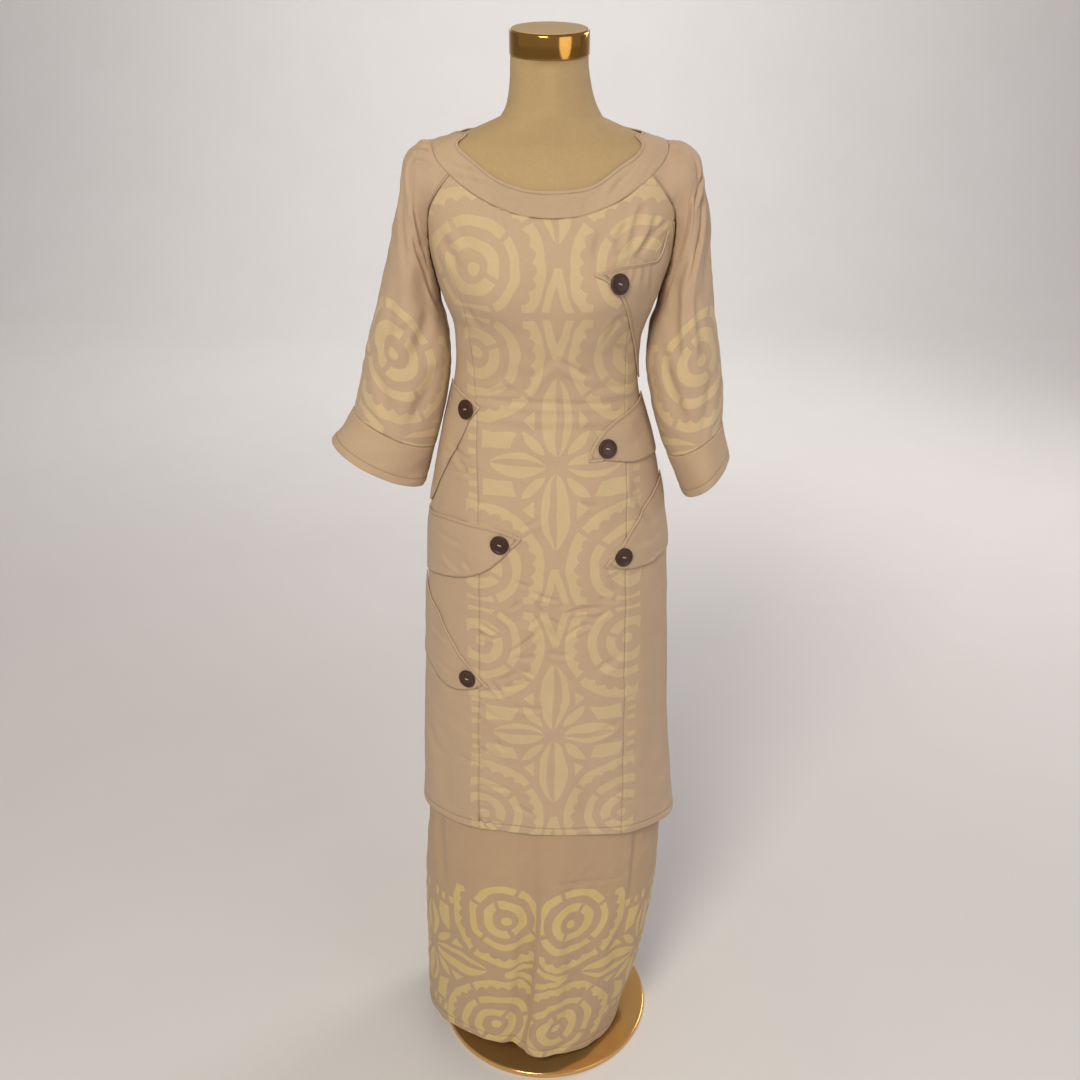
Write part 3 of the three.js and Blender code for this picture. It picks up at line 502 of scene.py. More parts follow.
BACK_CREASES = [
    (-110, 1112, 112, 1110, 5, 1.8, 4), (-96, 1096, 90, 1124, 7, 1.8, -4),
    (-60, 1150, 70, 1136, 7, 1.6, 4), (-90, 1080, -20, 1064, 7, 1.8, 4),
    (30, 1066, 100, 1080, 7, 1.6, 3), (-120, 1040, -60, 960, 10, 2.2, 6),
    (118, 1036, 66, 950, 10, 2.2, -6), (-20, 880, -30, 560, 18, 2.4, 8),
    (70, 900, 92, 500, 18, 2.6, -8), (-110, 860, -126, 520, 16, 2.4, 8),
    (-70, 1340, -30, 1300, 10, 1.4, 4), (76, 1338, 40, 1296, 10, 1.4, -4),
    (-118, 1270, -70, 1210, 9, 1.6, 4), (116, 1268, 74, 1206, 9, 1.6, -4),
]
SKIRT_CREASES = [
    (-20, 420, -34, 70, 9, 3, 5), (40, 400, 34, 60, 13, 3.6, -4),
    (78, 360, 64, 50, 15, 2.8, 4), (-84, 380, -110, 80, 15, 2.6, -6),
    (10, 379, 122, 366, 3.4, 3, 1), (-8, 330, -22, 250, 6, 2.2, 3),
    (2, 190, 14, 70, 5, 3, -2), (14, 250, 4, 120, 5, 2.6, 2),
    (-36, 28, -20, 262, 3.4, 5.4, 1), (-20, 236, -15, 450, 3, 2.8, 1),
    (130, 330, 112, 120, 13, 3, 5), (-164, 470, -158, 320, 5, 3.6, 2),
    (140, 470, 132, 310, 5, 3.4, -2),
]
SKIRT_BACK_CREASES = [
    (-90, 460, -110, 90, 18, 3.4, 6), (-20, 460, -30, 90, 16, 3, -6),
    (50, 460, 60, 100, 18, 3.4, 6), (120, 420, 124, 130, 16, 3, 5),
]


def creases(p, lines):
    """How far the cloth lies in or out at points seen from the front, by a list of creases."""
    x, z = p[..., 0], p[..., 2]
    total = np.zeros_like(x)
    for x0, z0, x1, z1, width, depth, bow in lines:
        long = math.hypot(x1 - x0, z1 - z0)
        ax, az = (x1 - x0) / long, (z1 - z0) / long
        along = ((x - x0) * ax + (z - z0) * az) / long
        taper = np.clip(4 * along * (1 - along), 0, 1) ** 0.7
        across = (x - x0) * az - (z - z0) * ax - bow * 4 * along * (1 - along)
        total -= depth * taper * (bump(across, width) - 0.55 * bump(across - 1.9 * width, width * 1.1))
    return total


def pressed(lift, room):
    """The cloth's lift, which sinks no deeper than the room under it."""
    return np.where(lift < 0, -room * np.tanh(-lift / room), lift)


def body_folds(p):
    """The folds that the tunic's panels and its tabs share, no deeper than the room over the form."""
    facing = p[..., 1] < 0
    front, back = creases(p, FRONT_CREASES), 1.4 * creases(p, BACK_CREASES)
    edge = np.clip(np.abs(p[..., 1]) / 45, 0, 1)
    low = 1 - smooth(500, 900, p[..., 2])
    soft = 0.9 * waves(p[..., 0], p[..., 2], 95, 3, 1.4) + 0.45 * waves(p[..., 0], p[..., 2], 34, 5)
    soft = soft + 1.6 * low * waves(p[..., 0] + np.where(facing, 0, 300), p[..., 2] * 0.15, 70, 11)
    total = np.where(facing, front, back) * edge + soft * (0.35 + 0.65 * edge)
    room = read(INSET, "in", np.clip(p[..., 2], 700, 1467)) - 1.7
    return pressed(total, room)


# Meshes.
def grid_normals(p, ring=False):
    if ring:
        across = np.roll(p, -1, 1) - np.roll(p, 1, 1)
    else:
        across = np.gradient(p, axis=1)
    return unit(np.cross(across, np.gradient(p, axis=0)))


def arcs(p, axis):
    """Distance along rows (axis 1) or columns (axis 0), from the first point."""
    step = np.linalg.norm(np.diff(p, axis=axis), axis=-1)
    return np.insert(np.cumsum(step, axis=axis), 0, 0, axis=axis)


def make(name, points, faces, layers, material, thick=0.0):
    """A smooth mesh. Layers are UV maps by name, one pair in millimetres for each point."""
    mesh = bpy.data.meshes.new(name)
    mesh.from_pydata((np.asarray(points) * MM).tolist(), [], faces)
    corner = np.zeros(len(mesh.loops), int)
    mesh.loops.foreach_get("vertex_index", corner)
    for layer, values in layers.items():
        uv = mesh.uv_layers.new(name=layer)
        uv.data.foreach_set("uv", (np.asarray(values)[corner] * MM).astype(np.float32).ravel())
    mesh.shade_smooth()
    mesh.materials.append(material)
    piece = bpy.data.objects.new(name, mesh)
    bpy.context.scene.collection.objects.link(piece)
    if thick:
        shell = piece.modifiers.new("cloth", "SOLIDIFY")
        shell.thickness = thick * MM
        shell.offset = -1
    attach(piece, "root")
    return piece


def grid_faces(rows, across, ring=False):
    wide = across if ring else across - 1
    i, j = np.meshgrid(np.arange(rows - 1), np.arange(wide), indexing="ij")
    a, b = i * across + j, i * across + (j + 1) % across
    return np.stack([a, b, b + across, a + across], -1).reshape(-1, 4).tolist()


def cloth(name, p, weave, line, material, ring=False, thick=CLOTH):
    """A sheet of cloth from a grid. Weave is its place in the cloth, line the distance from stitches."""
    rows, across = p.shape[:2]
    layers = {"weave": weave.reshape(-1, 2), "line": line.reshape(-1, 2)}
    return make(name, p.reshape(-1, 3), grid_faces(rows, across, ring), layers, material, thick)


def away(shape, distance, along):
    """The layer of a stitched line: distance from it and the place along it."""
    return np.stack(np.broadcast_arrays(distance, along), -1).reshape(*shape, 2)


def tube(name, path, radius, material):
    """A thin round piping or thread along a path."""
    sides = 8
    ahead = unit(np.gradient(path, axis=0))
    guide = np.array([0.31, -0.9, 0.3])
    first = unit(np.cross(ahead, guide))
    second = np.cross(ahead, first)
    turn = np.linspace(0, 2 * math.pi, sides, endpoint=False)
    ring = first[:, None] * np.cos(turn)[None, :, None] + second[:, None] * np.sin(turn)[None, :, None]
    points = path[:, None] + ring * radius
    weave = np.stack(np.broadcast_arrays(turn[None, :] * radius, arcs(path[:, None], 0)), -1)
    layers = {"weave": weave.reshape(-1, 2), "line": np.full((len(path) * sides, 2), UNSTITCHED)}
    last = (len(path) - 1) * sides
    ends = [list(range(sides))[::-1], [last + j for j in range(sides)]]
    return make(name, points.reshape(-1, 3), grid_faces(len(path), sides, True) + ends, layers, material)


def lathe(name, profile, segments, material, place=None):
    """A turned piece about the Z axis, its profile from radius and height. Place maps its points."""
    profile = np.array(profile, float)
    turn = np.linspace(0, 2 * math.pi, segments, endpoint=False)
    r, h = profile[:, :1], profile[:, 1:]
    points = np.stack(np.broadcast_arrays(r * np.sin(turn), -r * np.cos(turn), h), -1)
    flat = points[..., :2].copy()
    if place is not None:
        points = place(points)
    layers = {"weave": flat.reshape(-1, 2), "line": np.full((len(profile) * segments, 2), UNSTITCHED)}
    return make(name, points.reshape(-1, 3), grid_faces(len(profile), segments, True), layers, material)


def cubic(a, b, c, d, u):
    """The smooth curve from b to c, where a comes before them and d after."""
    square = 2 * a - 5 * b + 4 * c - d
    return 0.5 * (2 * b + (c - a) * u + square * u**2 + (3 * b - a - 3 * c + d) * u**3)


def catmull(points, steps):
    """A smooth line through points."""
    p = np.array(points, float)
    p = np.vstack([p[:1], p, p[-1:]])
    u = np.linspace(0, 1, steps, endpoint=False)[:, None]
    out = [cubic(*four, u) for four in zip(p[:-3], p[1:-2], p[2:-1], p[3:])]
    return np.vstack([*out, p[-1:]])


# Materials. A Num is a number worked out by math nodes, which the usual operators combine.
class Num:
    def __init__(self, tree, source):
        self.tree = tree
        self.source = source

    def do(self, operation, *others, clamp=False):
        node = self.tree.nodes.new("ShaderNodeMath")
        node.operation = operation
        node.use_clamp = clamp
        for socket, value in zip(node.inputs, (self, *others)):
            if isinstance(value, Num):
                self.tree.links.new(value.source, socket)
            else:
                socket.default_value = value
        return Num(self.tree, node.outputs[0])

    __add__ = __radd__ = partialmethod(do, "ADD")
    __sub__ = partialmethod(do, "SUBTRACT")
    __mul__ = __rmul__ = partialmethod(do, "MULTIPLY")
    __truediv__ = partialmethod(do, "DIVIDE")
    __neg__ = partialmethod(do, "MULTIPLY", -1)
    __abs__ = partialmethod(do, "ABSOLUTE")
    at_most = partialmethod(do, "MINIMUM")
    at_least = partialmethod(do, "MAXIMUM")
    clamped = partialmethod(do, "ADD", 0, clamp=True)

    def taken_from(self, number):
        return -self + number


def petal(along, across, start, end, half):
    """A petal split lengthwise into a lens and a crescent. The value is above 0 inside."""
    t = ((along - start) / (end - start)).clamped()
    wide = (t * t.taken_from(1) * 4).do("POWER", 0.7) * half
    lens = (across - wide * 0.06).at_most(wide - across)
    crescent = (-across - wide * 0.45).at_most(wide + across)
    return lens.at_least(crescent)


def broken_ring(px, pz, radius, low, high, gaps):
    """A ring about the origin with narrow gaps at the given angles."""
    ring = (radius - low).at_most(-radius + high)
    for gap in gaps:
        c, s = math.cos(math.radians(gap)), math.sin(math.radians(gap))
        across = abs(px * s - pz * c)
        ring = ring.at_most((across - 3).at_least(-(px * c + pz * s)))
    return ring


def elei(x, z, limit, full):
    """The block print's repeat, 400 by two limits: a flower, and swirls that mirror about it."""
    signed = z.do("WRAP", 200, -200)
    far, side = abs(signed), abs(x)
    total = petal(far, -(x * signed.do("SIGN")), 10, 115, 21)
    total = total.at_least(petal(side, signed * x.do("SIGN"), 14, 88, 17.6))
    t = (((side + far) * 0.7071 - 21) / 42).clamped()
    leaf = (t * t.taken_from(1) * 4).do("POWER", 0.7) * 7 - abs(side - far) * 0.7071
    total = total.at_least(leaf)
    total = total.at_least((side - 29).at_most((-side + 44) * 0.9 - abs(far - 59)))
    block = (side - 51 - (-far + 43) * 0.45).at_most(-side + 98)
    total = total.at_least(block.at_most(far - 20 - (-side + 98) * 0.06).at_most(-far + 43))
    tooth = abs((far + 4).do("WRAP", 8.5, -8.5))
    tooth = (-tooth + 4.6 - (-side + 120) * 0.09).at_most(-side + 120).at_most(side - 106)
    total = total.at_least(tooth.at_most(-far + 62))
    away_from_mirror = -far + 200
    vee = -abs(side - (-away_from_mirror / 57 + 1) * 17) + 5.5
    total = total.at_least(vee.at_most(away_from_mirror - 5).at_most(-away_from_mirror + 59))
    px, pz = -side + 106, -far + 143
    radius = (px * px + pz * pz).do("SQRT")
    scallop = abs((pz.do("ARCTAN2", px) * 13).do("COSINE")) * 6 + 74
    swirl = broken_ring(px, pz, radius, scallop, 92, [37, 128, -112])
    if full:  # where the band is wide enough, the outer ring stops above the swirl's middle
        swirl = swirl.at_most(px + 44)
    swirl = swirl.at_least(broken_ring(px, pz, radius, 47, 60, [-62, 40, 118, -160]))
    swirl = swirl.at_least(broken_ring(px, pz, radius, 20, 35, [-25, 150]))
    blob = -((px - 3) * (px - 3) + (pz + 2) * (pz + 2)).do("SQRT") + 8
    swirl = swirl.at_least(blob).at_most(away_from_mirror - 5)
    return (total.at_least(swirl).at_most(-side + limit) / 0.8).clamped()


def linear(rgb):
    c = np.array(rgb, float) / 255
    return (*np.where(c > 0.04045, ((c + 0.055) / 1.055) ** 2.4, c / 12.92), 1.0)


class Look:
    """A principled material with short ways to add its nodes."""

    def __init__(self, name, roughness, metallic=0.0):
        self.material = bpy.data.materials.new(name)
        self.material.use_nodes = True
        self.tree = self.material.node_tree
        self.shader = self.tree.nodes["Principled BSDF"]
        self.shader.inputs["Roughness"].default_value = roughness
        self.shader.inputs["Metallic"].default_value = metallic

    def node(self, kind, **inputs):
        node = self.tree.nodes.new(kind)
        for name, value in inputs.items():
            self.link(value, node.inputs[name])
        return node

    def link(self, value, socket):
        if isinstance(value, Num):
            self.tree.links.new(value.source, socket)
        elif isinstance(value, bpy.types.NodeSocket):
            self.tree.links.new(value, socket)
        else:
            socket.default_value = value

    def uv(self, layer):
        """The two coordinates of a layer, in millimetres."""
        node = self.node("ShaderNodeUVMap")
        node.uv_map = layer
        parts = self.node("ShaderNodeSeparateXYZ", Vector=node.outputs[0])
        return [Num(self.tree, parts.outputs[i]) * 1000 for i in (0, 1)]

    def noise(self, size, detail=2.0, seed=0.0):
        """Noise from 0 to 1 with blotches of a size in millimetres."""
        place = self.node("ShaderNodeTexCoord").outputs["Object"]
        node = self.tree.nodes.new("ShaderNodeTexNoise")
        node.noise_dimensions = "4D"
        node.inputs["W"].default_value = seed
        node.inputs["Scale"].default_value = 1000 / size
        node.inputs["Detail"].default_value = detail
        self.tree.links.new(place, node.inputs["Vector"])
        return Num(self.tree, node.outputs["Fac"])

    def mix(self, share, low, high, blend="MIX"):
        node = self.tree.nodes.new("ShaderNodeMix")
        node.data_type = "RGBA"
        node.blend_type = blend
        self.link(share, node.inputs["Factor"])
        self.link(low, node.inputs["A"])
        self.link(high, node.inputs["B"])
        return node.outputs["Result"]

    def gray(self, value):
        node = self.node("ShaderNodeCombineColor", Red=value, Green=value, Blue=value)
        return node.outputs[0]

    def bump(self, height, distance, strength=1.0):
        """Height is in millimetres."""
        node = self.tree.nodes.new("ShaderNodeBump")
        node.inputs["Distance"].default_value = distance * MM
        node.inputs["Strength"].default_value = strength
        self.link(height, node.inputs["Height"])
        self.tree.links.new(node.outputs[0], self.shader.inputs["Normal"])

    def colour(self, value):
        self.link(value, self.shader.inputs["Base Color"])


def fabric(name, ground, printed=None, limit=None, full=False, pitch=0.55, wide=None, slub=0.05):
    """Plain-weave cloth. Printed adds the block print in that colour, up to a limit from its middle."""
    look = Look(name, 0.86)
    look.shader.inputs["Sheen Weight"].default_value = 0.12
    look.shader.inputs["Sheen Roughness"].default_value = 0.45
    look.shader.inputs["Specular IOR Level"].default_value = 0.3
    u, v = look.uv("weave")
    distance, along = look.uv("line")
    colour = linear(ground)
    if printed:
        wobble, drift = look.noise(34, 1.0, 2.0), look.noise(34, 1.0, 7.0)
        if wide:  # above this place the print goes on across the whole panel
            limit = ((v - wide) / 2).clamped() * 46 + limit
        mask = elei(u + (wobble - 0.5) * 9, v + (drift - 0.5) * 9, limit, full)
        colour = look.mix(mask * (look.noise(9, 3.0, 4.0) * 0.3 + 0.8).clamped(), colour, linear(printed))
    warp = (u * (2 * math.pi / pitch)).do("SINE")
    weft = (v * (2 * math.pi / pitch)).do("SINE")
    slubs = look.noise(2.4, 2.0, 1.0) - 0.5
    blotch = look.noise(70, 3.0, 5.0) - 0.5
    shade = blotch * 0.10 + slubs * slub * 2 + warp * weft * 0.03 + 1
    dash = ((along.do("WRAP", 1.5, -1.5) * 2).do("ABSOLUTE") * -1 + 2.4).clamped()
    stitch = (-abs(distance) + 1.0).clamped() * dash
    # The stitches darken the cloth in short dashes, partly the stitches' own marks and partly painted shade
    # in the sunk stitches; the wider band 2.5 mm either side is painted shade along the stitched ditch.
    shade = shade - stitch * 0.36 - (-abs(distance) * 0.4 + 1).clamped() * 0.08
    look.colour(look.mix(1.0, colour, look.gray(shade), "MULTIPLY"))
    rough = (slubs * 0.2 + 0.86).clamped()
    look.link(rough, look.shader.inputs["Roughness"])
    crumple = look.noise(16, 3.0, 8.0) * 0.9 + look.noise(5, 2.0, 6.0) * 0.22
    look.bump(warp * weft * 0.09 + slubs * 0.16 + crumple - stitch * 0.5, 1.0, 0.8)
    return look.material


TUNIC_FLOWER = 1040  # level of the upper flower of the block print on the tunic
TUNIC_MIDDLE = 11.5  # the print's middle line lies towards the wearer's left
SKIRT_FLOWER = 198
SKIRT_BAND = 375  # level of the seam above the skirt's printed band

COTTON = fabric("plain_cotton", (199, 172, 140))
COTTON_PRINT = fabric("tunic_print", (199, 172, 140), (212, 189, 145), 124, wide=197)
SLEEVE_PRINT = fabric("sleeve_print", (198, 171, 141), (215, 192, 147), 172, True)
SKIRT_PRINT = fabric("skirt_print", (190, 162, 128), (216, 191, 128), 172, True)
LINEN = fabric("linen", (186, 159, 114), pitch=0.9, slub=0.10)
PIPING = fabric("piping", (208, 183, 152), pitch=0.5)


def gold(name, light, deep, rough, metallic=1.0):
    look = Look(name, rough, metallic)
    smear = look.noise(60, 3.0, 2.0)
    look.colour(look.mix(smear, linear(light), linear(deep)))
    uneven = (smear * 0.10 + look.noise(6, 2.0, 9.0) * 0.05 + rough).clamped()
    look.link(uneven, look.shader.inputs["Roughness"])
    look.bump(look.noise(90, 1.0, 3.0) * 1.2, 1.0, 0.35)
    return look.material


def coconut():
    look = Look("coconut", 0.32)
    grain = look.noise(1.1, 4.0, 3.0)
    look.colour(look.mix(grain, linear((36, 18, 10)), linear((74, 42, 24))))
    look.link(grain * 0.24 + 0.26, look.shader.inputs["Roughness"])
    look.shader.inputs["Coat Weight"].default_value = 0.1
    look.bump(grain, 0.15, 0.6)
    return look.material


GOLD = gold("gold", (206, 158, 80), (180, 128, 56), 0.05)
MIRROR = gold("mirror_gold", (232, 186, 116), (216, 166, 96), 0.08, 0.74)
COCONUT = coconut()


def seam_roll(left, right):
    """How far a panel turns in at its side seams, by the distances from them."""
    return -0.34 * bump(np.minimum(left, right), 1.6)


def puckers(distance, along, reach, pitch, depth, seed):
    """Short gathers that run away from a seam."""
    shifted = along + 2.2 * waves(along, distance * 0.2, pitch * 5, seed)
    fade = bump(distance, reach) * (0.6 + 0.4 * waves(along, distance * 0, pitch * 6, seed + 1))
    return depth * np.sin(2 * math.pi * shifted / pitch) * fade


def hem_roll(distance, width):
    """The turned-up hem: a soft edge, and a shallow ditch along its stitches."""
    turned = 0.45 * (1 - smooth(width - 1, width + 2, distance))
    return turned - 1.0 * bump(distance - width, 1.6) - 0.7 * bump(distance, 1.2)


def stands_for(piece, node):
    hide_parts(node)


def sheet(piece, node):
    stands_for(piece, node)


def tunic_front():
    z, seam, t = stations(RAGLAN_FRONT, 2.7)
    top = 1 - np.clip((t - PRINCESS_END) / 0.06, 0, 1)
    gap = seam_turn(z) * TIGHT
    right = np.abs(princess(-1, z)) * (1 - top) + seam * top - gap
    left = princess(1, z) * (1 - top) + seam * top - gap
    angle, level = panel(z, -right, left, 104, seam)
    p = tunic(angle, level)
    wide, tall = arcs(p, 1), arcs(p, 0)
    from_right, from_left = wide, wide[:, -1:] - wide
    lift = body_folds(p) + seam_roll(from_right, from_left) + hem_roll(tall, TUNIC_TURN)
    room = 1 - smooth(1180, 1290, p[..., 2])
    lift += puckers(from_right, p[..., 2], 9, 10.5, 0.7, 21) * room
    lift += puckers(from_left, p[..., 2], 8, 9.8, 0.6, 25) * room
    lift -= 0.5 * bump(tall[-1:] - tall, 1.5)
    p = p + grid_normals(p) * lift[..., None]
    weave = np.stack([p[..., 0] - TUNIC_MIDDLE, p[..., 2] - TUNIC_FLOWER], -1)
    piece = cloth("tunic_front", p, weave, away(p.shape[:2], tall - TUNIC_TURN, wide), COTTON_PRINT)
    sheet(piece, "front")


def tunic_side(side, name):
    z, seam, _ = stations(RAGLAN_FRONT, 3.0, 0.47)
    start = np.abs(princess(side, z)) + seam_turn(z) * TIGHT
    end = seam - seam_turn(z) * TIGHT
    start = np.minimum(start, end - 0.002)
    u = np.linspace(0, 1, 30)[None, :]
    angle = side * (start[:, None] * (1 - u) + end[:, None] * u)
    if side < 0:
        angle = angle[:, ::-1]
    p = tunic(angle, hemmed(angle, np.broadcast_to(z[:, None], angle.shape)))
    wide, tall = arcs(p, 1), arcs(p, 0)
    ahead, behind = (wide, wide[:, -1:] - wide) if side > 0 else (wide[:, -1:] - wide, wide)
    lift = body_folds(p) + seam_roll(ahead, behind) + hem_roll(tall, TUNIC_TURN)
    room = 1 - smooth(1180, 1290, p[..., 2])
    lift += puckers(ahead, p[..., 2], 7, 10.2, 0.6, 31 + side) * room
    p = p + grid_normals(p) * lift[..., None]
    # Beside the seam the print's place is counted along the cloth.
    seam_place = np.abs(side * read(PRINCESS, name, z)[:, None] - TUNIC_MIDDLE)
    place = np.where(side * p[..., 0] > 60, side * (seam_place + ahead), p[..., 0] - TUNIC_MIDDLE)
    weave = np.stack([place, p[..., 2] - TUNIC_FLOWER], -1)
    piece = cloth(f"tunic_side_{name}", p, weave, away(p.shape[:2], tall - TUNIC_TURN, wide), COTTON_PRINT)
    sheet(piece, f"side_front_{name}")


def tunic_back():
    z, seam, _ = stations(RAGLAN_BACK, 3.4)
    edge = seam - seam_turn(z) * TIGHT
    angle, level = panel(z, math.pi - edge, math.pi + edge, 116, math.pi + edge)
    p = tunic(angle, level)
    wide, tall = arcs(p, 1), arcs(p, 0)
    lift = body_folds(p) + seam_roll(wide, wide[:, -1:] - wide) + hem_roll(tall, TUNIC_TURN)
    lift -= 0.5 * bump(tall[-1:] - tall, 1.5)
    p = p + grid_normals(p) * lift[..., None]
    weave = np.stack([p[..., 0], p[..., 2]], -1)
    piece = cloth("tunic_back", p, weave, away(p.shape[:2], tall - TUNIC_TURN, wide), COTTON)
    sheet(piece, "back")


BAND_CREASES = [
    (-66, 1388, -52, 1352, 3, 2, 2), (-42, 1372, -30, 1356, 2.6, 1.6, 1),
    (-4, 1368, -6, 1356, 2.6, 1.2, 1), (52, 1376, 40, 1356, 3, 1.4, 2),
    (92, 1400, 72, 1368, 3.6, 1.6, 2), (-100, 1412, -84, 1380, 3.6, 1.6, 2),
]


def neck_band():
    a = np.linspace(math.pi, 3 * math.pi, 240, endpoint=False)[None, :]
    v = np.linspace(-0.012, 1, 20)[:, None]
    angle = np.broadcast_to(a, (20, 240))
    around = np.arctan2(np.sin(a), np.cos(a))
    uneven = 1 + 0.04 * waves(150 * around, 0 * a, 48, 43) * v**2
    p = tunic(angle, neckline(a) + band_rise(a) * v * uneven)
    tall, wide = arcs(p, 0), arcs(p, 1)
    low, high = tall, tall[-1:] - tall
    lift = -0.5 * bump(low, 1.2) - 0.7 * bump(high, 1.3) - 0.35 * bump(high - 4.5, 1.2)
    lift = lift + 0.7 * waves(wide, tall, 34, 41) + 0.3 * bump(low - 4, 3) + 1.2 * creases(p, BAND_CREASES)
    p = p + grid_normals(p, True) * lift[..., None]
    weave = np.stack([wide, tall], -1)
    piece = cloth("tunic_neckband", p, weave, away(p.shape[:2], high - 4.5, wide), COTTON, True, 1.3)
    sheet(piece, "neckband")


# Folds of the sleeves: both ends, as places round the arm from -1 in front to 1 behind and along it,
# then width and depth.
SLEEVE_FOLDS = {
    "right": [
        ((-0.80, 0.10), (-0.40, 0.34), 4.0, 3.6), ((-0.62, 0.06), (-0.24, 0.32), 4.0, 3.8),
        ((-0.44, 0.04), (-0.12, 0.28), 4.0, 3.2), ((-0.24, 0.04), (0.02, 0.26), 4.5, 2.6),
        ((-0.30, 0.22), (-0.62, 0.62), 5.5, 4.6), ((-0.46, 0.30), (-0.86, 0.80), 6.5, 4.6),
        ((-0.16, 0.42), (-0.50, 0.95), 8, 3.4), ((-0.62, 0.72), (-0.90, 1.06), 6, 3.6),
        ((-0.70, 1.10), (-0.52, 1.55), 9, 4.2), ((-0.36, 1.02), (-0.30, 1.50), 8, 2.6),
        ((-0.40, 1.30), (-0.14, 1.62), 8, 3.0), ((-0.78, 1.45), (-0.60, 1.90), 8, 3.4),
        ((-0.30, 1.60), (-0.52, 1.95), 7, 2.8), ((-0.58, 1.20), (-0.40, 1.34), 5, 2.6),
        ((0.10, 0.06), (0.30, 0.26), 5, 2.2), ((0.34, 0.08), (0.56, 0.34), 5, 2.4),
        ((0.22, 0.30), (0.60, 0.80), 9, 4.0), ((0.35, 1.00), (0.70, 1.50), 11, 4.2),
        ((0.20, 1.40), (0.45, 1.90), 10, 3.2), ((0.60, 0.60), (0.84, 1.02), 7, 3.4),
    ],
    "left": [
        ((-0.72, 0.08), (-0.36, 0.26), 4.0, 2.0), ((-0.46, 0.04), (-0.16, 0.24), 4.0, 2.0),
        ((-0.18, 0.50), (-0.56, 0.58), 4.5, 5.4), ((-0.30, 0.56), (-0.50, 1.02), 6, 4.8),
        ((-0.26, 0.28), (-0.44, 0.56), 6, 3.4), ((-0.62, 0.46), (-0.84, 0.98), 7, 4.6),
        ((-0.12, 0.62), (-0.30, 1.20), 8, 3.0), ((-0.66, 0.90), (-0.56, 1.50), 8, 4.8),
        ((-0.40, 1.10), (-0.30, 1.60), 7, 3.2), ((-0.74, 1.30), (-0.58, 1.86), 8, 3.8),
        ((-0.50, 1.00), (-0.46, 1.56), 5, 3.2), ((-0.24, 1.55), (-0.46, 1.95), 7, 2.8),
        ((0.10, 0.06), (0.30, 0.26), 5, 2.2), ((0.34, 0.08), (0.56, 0.34), 5, 2.4),
        ((0.22, 0.34), (0.60, 0.84), 9, 4.0), ((0.38, 1.05), (0.70, 1.55), 11, 4.2),
        ((0.20, 1.45), (0.45, 1.92), 10, 3.2), ((0.60, 0.60), (0.84, 1.02), 7, 3.4),
    ],
}


def arm_folds(name, u, t, around, along):
    total = np.zeros_like(u)
    for (u0, t0), (u1, t1), width, depth in SLEEVE_FOLDS[name]:
        du, dt = (u1 - u0) * around, (t1 - t0) * along
        long = math.hypot(du, dt)
        x, y = (u - u0) * around, (t - t0) * along
        place = (x * du + y * dt) / long**2
        off = (x * dt - y * du) / long
        taper = np.clip(4 * place * (1 - place), 0, 1) ** 0.7
        total -= depth * taper * (bump(off, width) - 0.6 * bump(off - 1.9 * width, width))
    return total


def sleeve_piece(name):
    side = -1 if name == "right" else 1
    t, u = np.linspace(2, 0, 132)[:, None], np.linspace(-1, 1, 121)[None, :]
    # Below the underarm the edges meet in a seam.
    seam = np.where(t >= 1, 1 - 0.2 / (math.pi * read(SLEEVES[name], "deep", t)), 1)
    t, u = np.broadcast_arrays(t, u * seam)
    p = sleeve(name, t, u)
    if side < 0:
        p, t, u = p[:, ::-1], t[:, ::-1], u[:, ::-1]
    wide, tall = arcs(p, 1), arcs(p, 0)
    near = np.minimum(wide, wide[:, -1:] - wide)
    armhole = np.where(t < 1, near, 60)
    lift = arm_folds(name, u, t, 170, 180) * smooth(0, 14, armhole) + 0.8 * waves(wide, tall, 60, 51 + side)
    lift = lift + 0.5 * waves(wide, tall, 26, 61 + side)
    lift = lift * smooth(0, 12, tall[-1:] - tall) - 0.5 * bump(armhole, 1.8) - 0.5 * bump(tall, 1.4)
    lift += puckers(armhole, tall, 14, 13, 0.7, 71 + side) * smooth(0.1, 0.3, t)
    room = 1.5 + 9 * smooth(0.3, 0.9, t)
    lift = pressed(lift, room)
    p = p + grid_normals(p) * lift[..., None]
    forward = (wide[:, -1:] - wide) if side < 0 else wide
    weave = np.stack([tall - 6, forward + 35], -1)
    piece = cloth(f"tunic_sleeve_{name}", p, weave, away(p.shape[:2], armhole - 2.5, tall), SLEEVE_PRINT)
    sheet(piece, f"sleeve_{name}")


def cuff_piece(name):
    side = -1 if name == "right" else 1
    across = 140
    u = np.linspace(-1, 1, across + 1)[None, :-1]
    t, u = np.broadcast_arrays(np.linspace(3, 2.004, 34)[:, None], u)
    p = sleeve(name, t, u)
    if side < 0:
        p, t, u = p[:, ::-1], t[:, ::-1], u[:, ::-1]
    wide, tall = arcs(p, 1), arcs(p, 0)
    high = tall[-1:] - tall
    lift = 0.9 * waves(wide, tall, 48, 81 + side) * smooth(0, 20, high) - 0.6 * bump(high, 1.4)
    lift = lift + 0.5 * (1 - smooth(9, 13, tall)) - 0.5 * bump(tall - CUFF_TURN, 1.4)
    lift = lift + 1.3 * waves(wide, tall * 0.1, 70, 85 + side) * (1 - smooth(0, 60, tall))
    p = p + grid_normals(p, True) * lift[..., None]
    weave, line = np.stack([wide, tall], -1), away(p.shape[:2], tall - CUFF_TURN, wide)
    piece = cloth(f"tunic_cuff_{name}", p, weave, line, COTTON, True)
    sheet(piece, f"cuff_{name}")


def tab_point(s, z, lift):
    """A point of a tab at a place s across its plan and a level, above the panel's folds."""
    angle = s / TAB_ARC
    p = tunic(angle, z)
    return p + normal_of(tunic, angle, z) * (body_folds(p) + lift)[..., None]


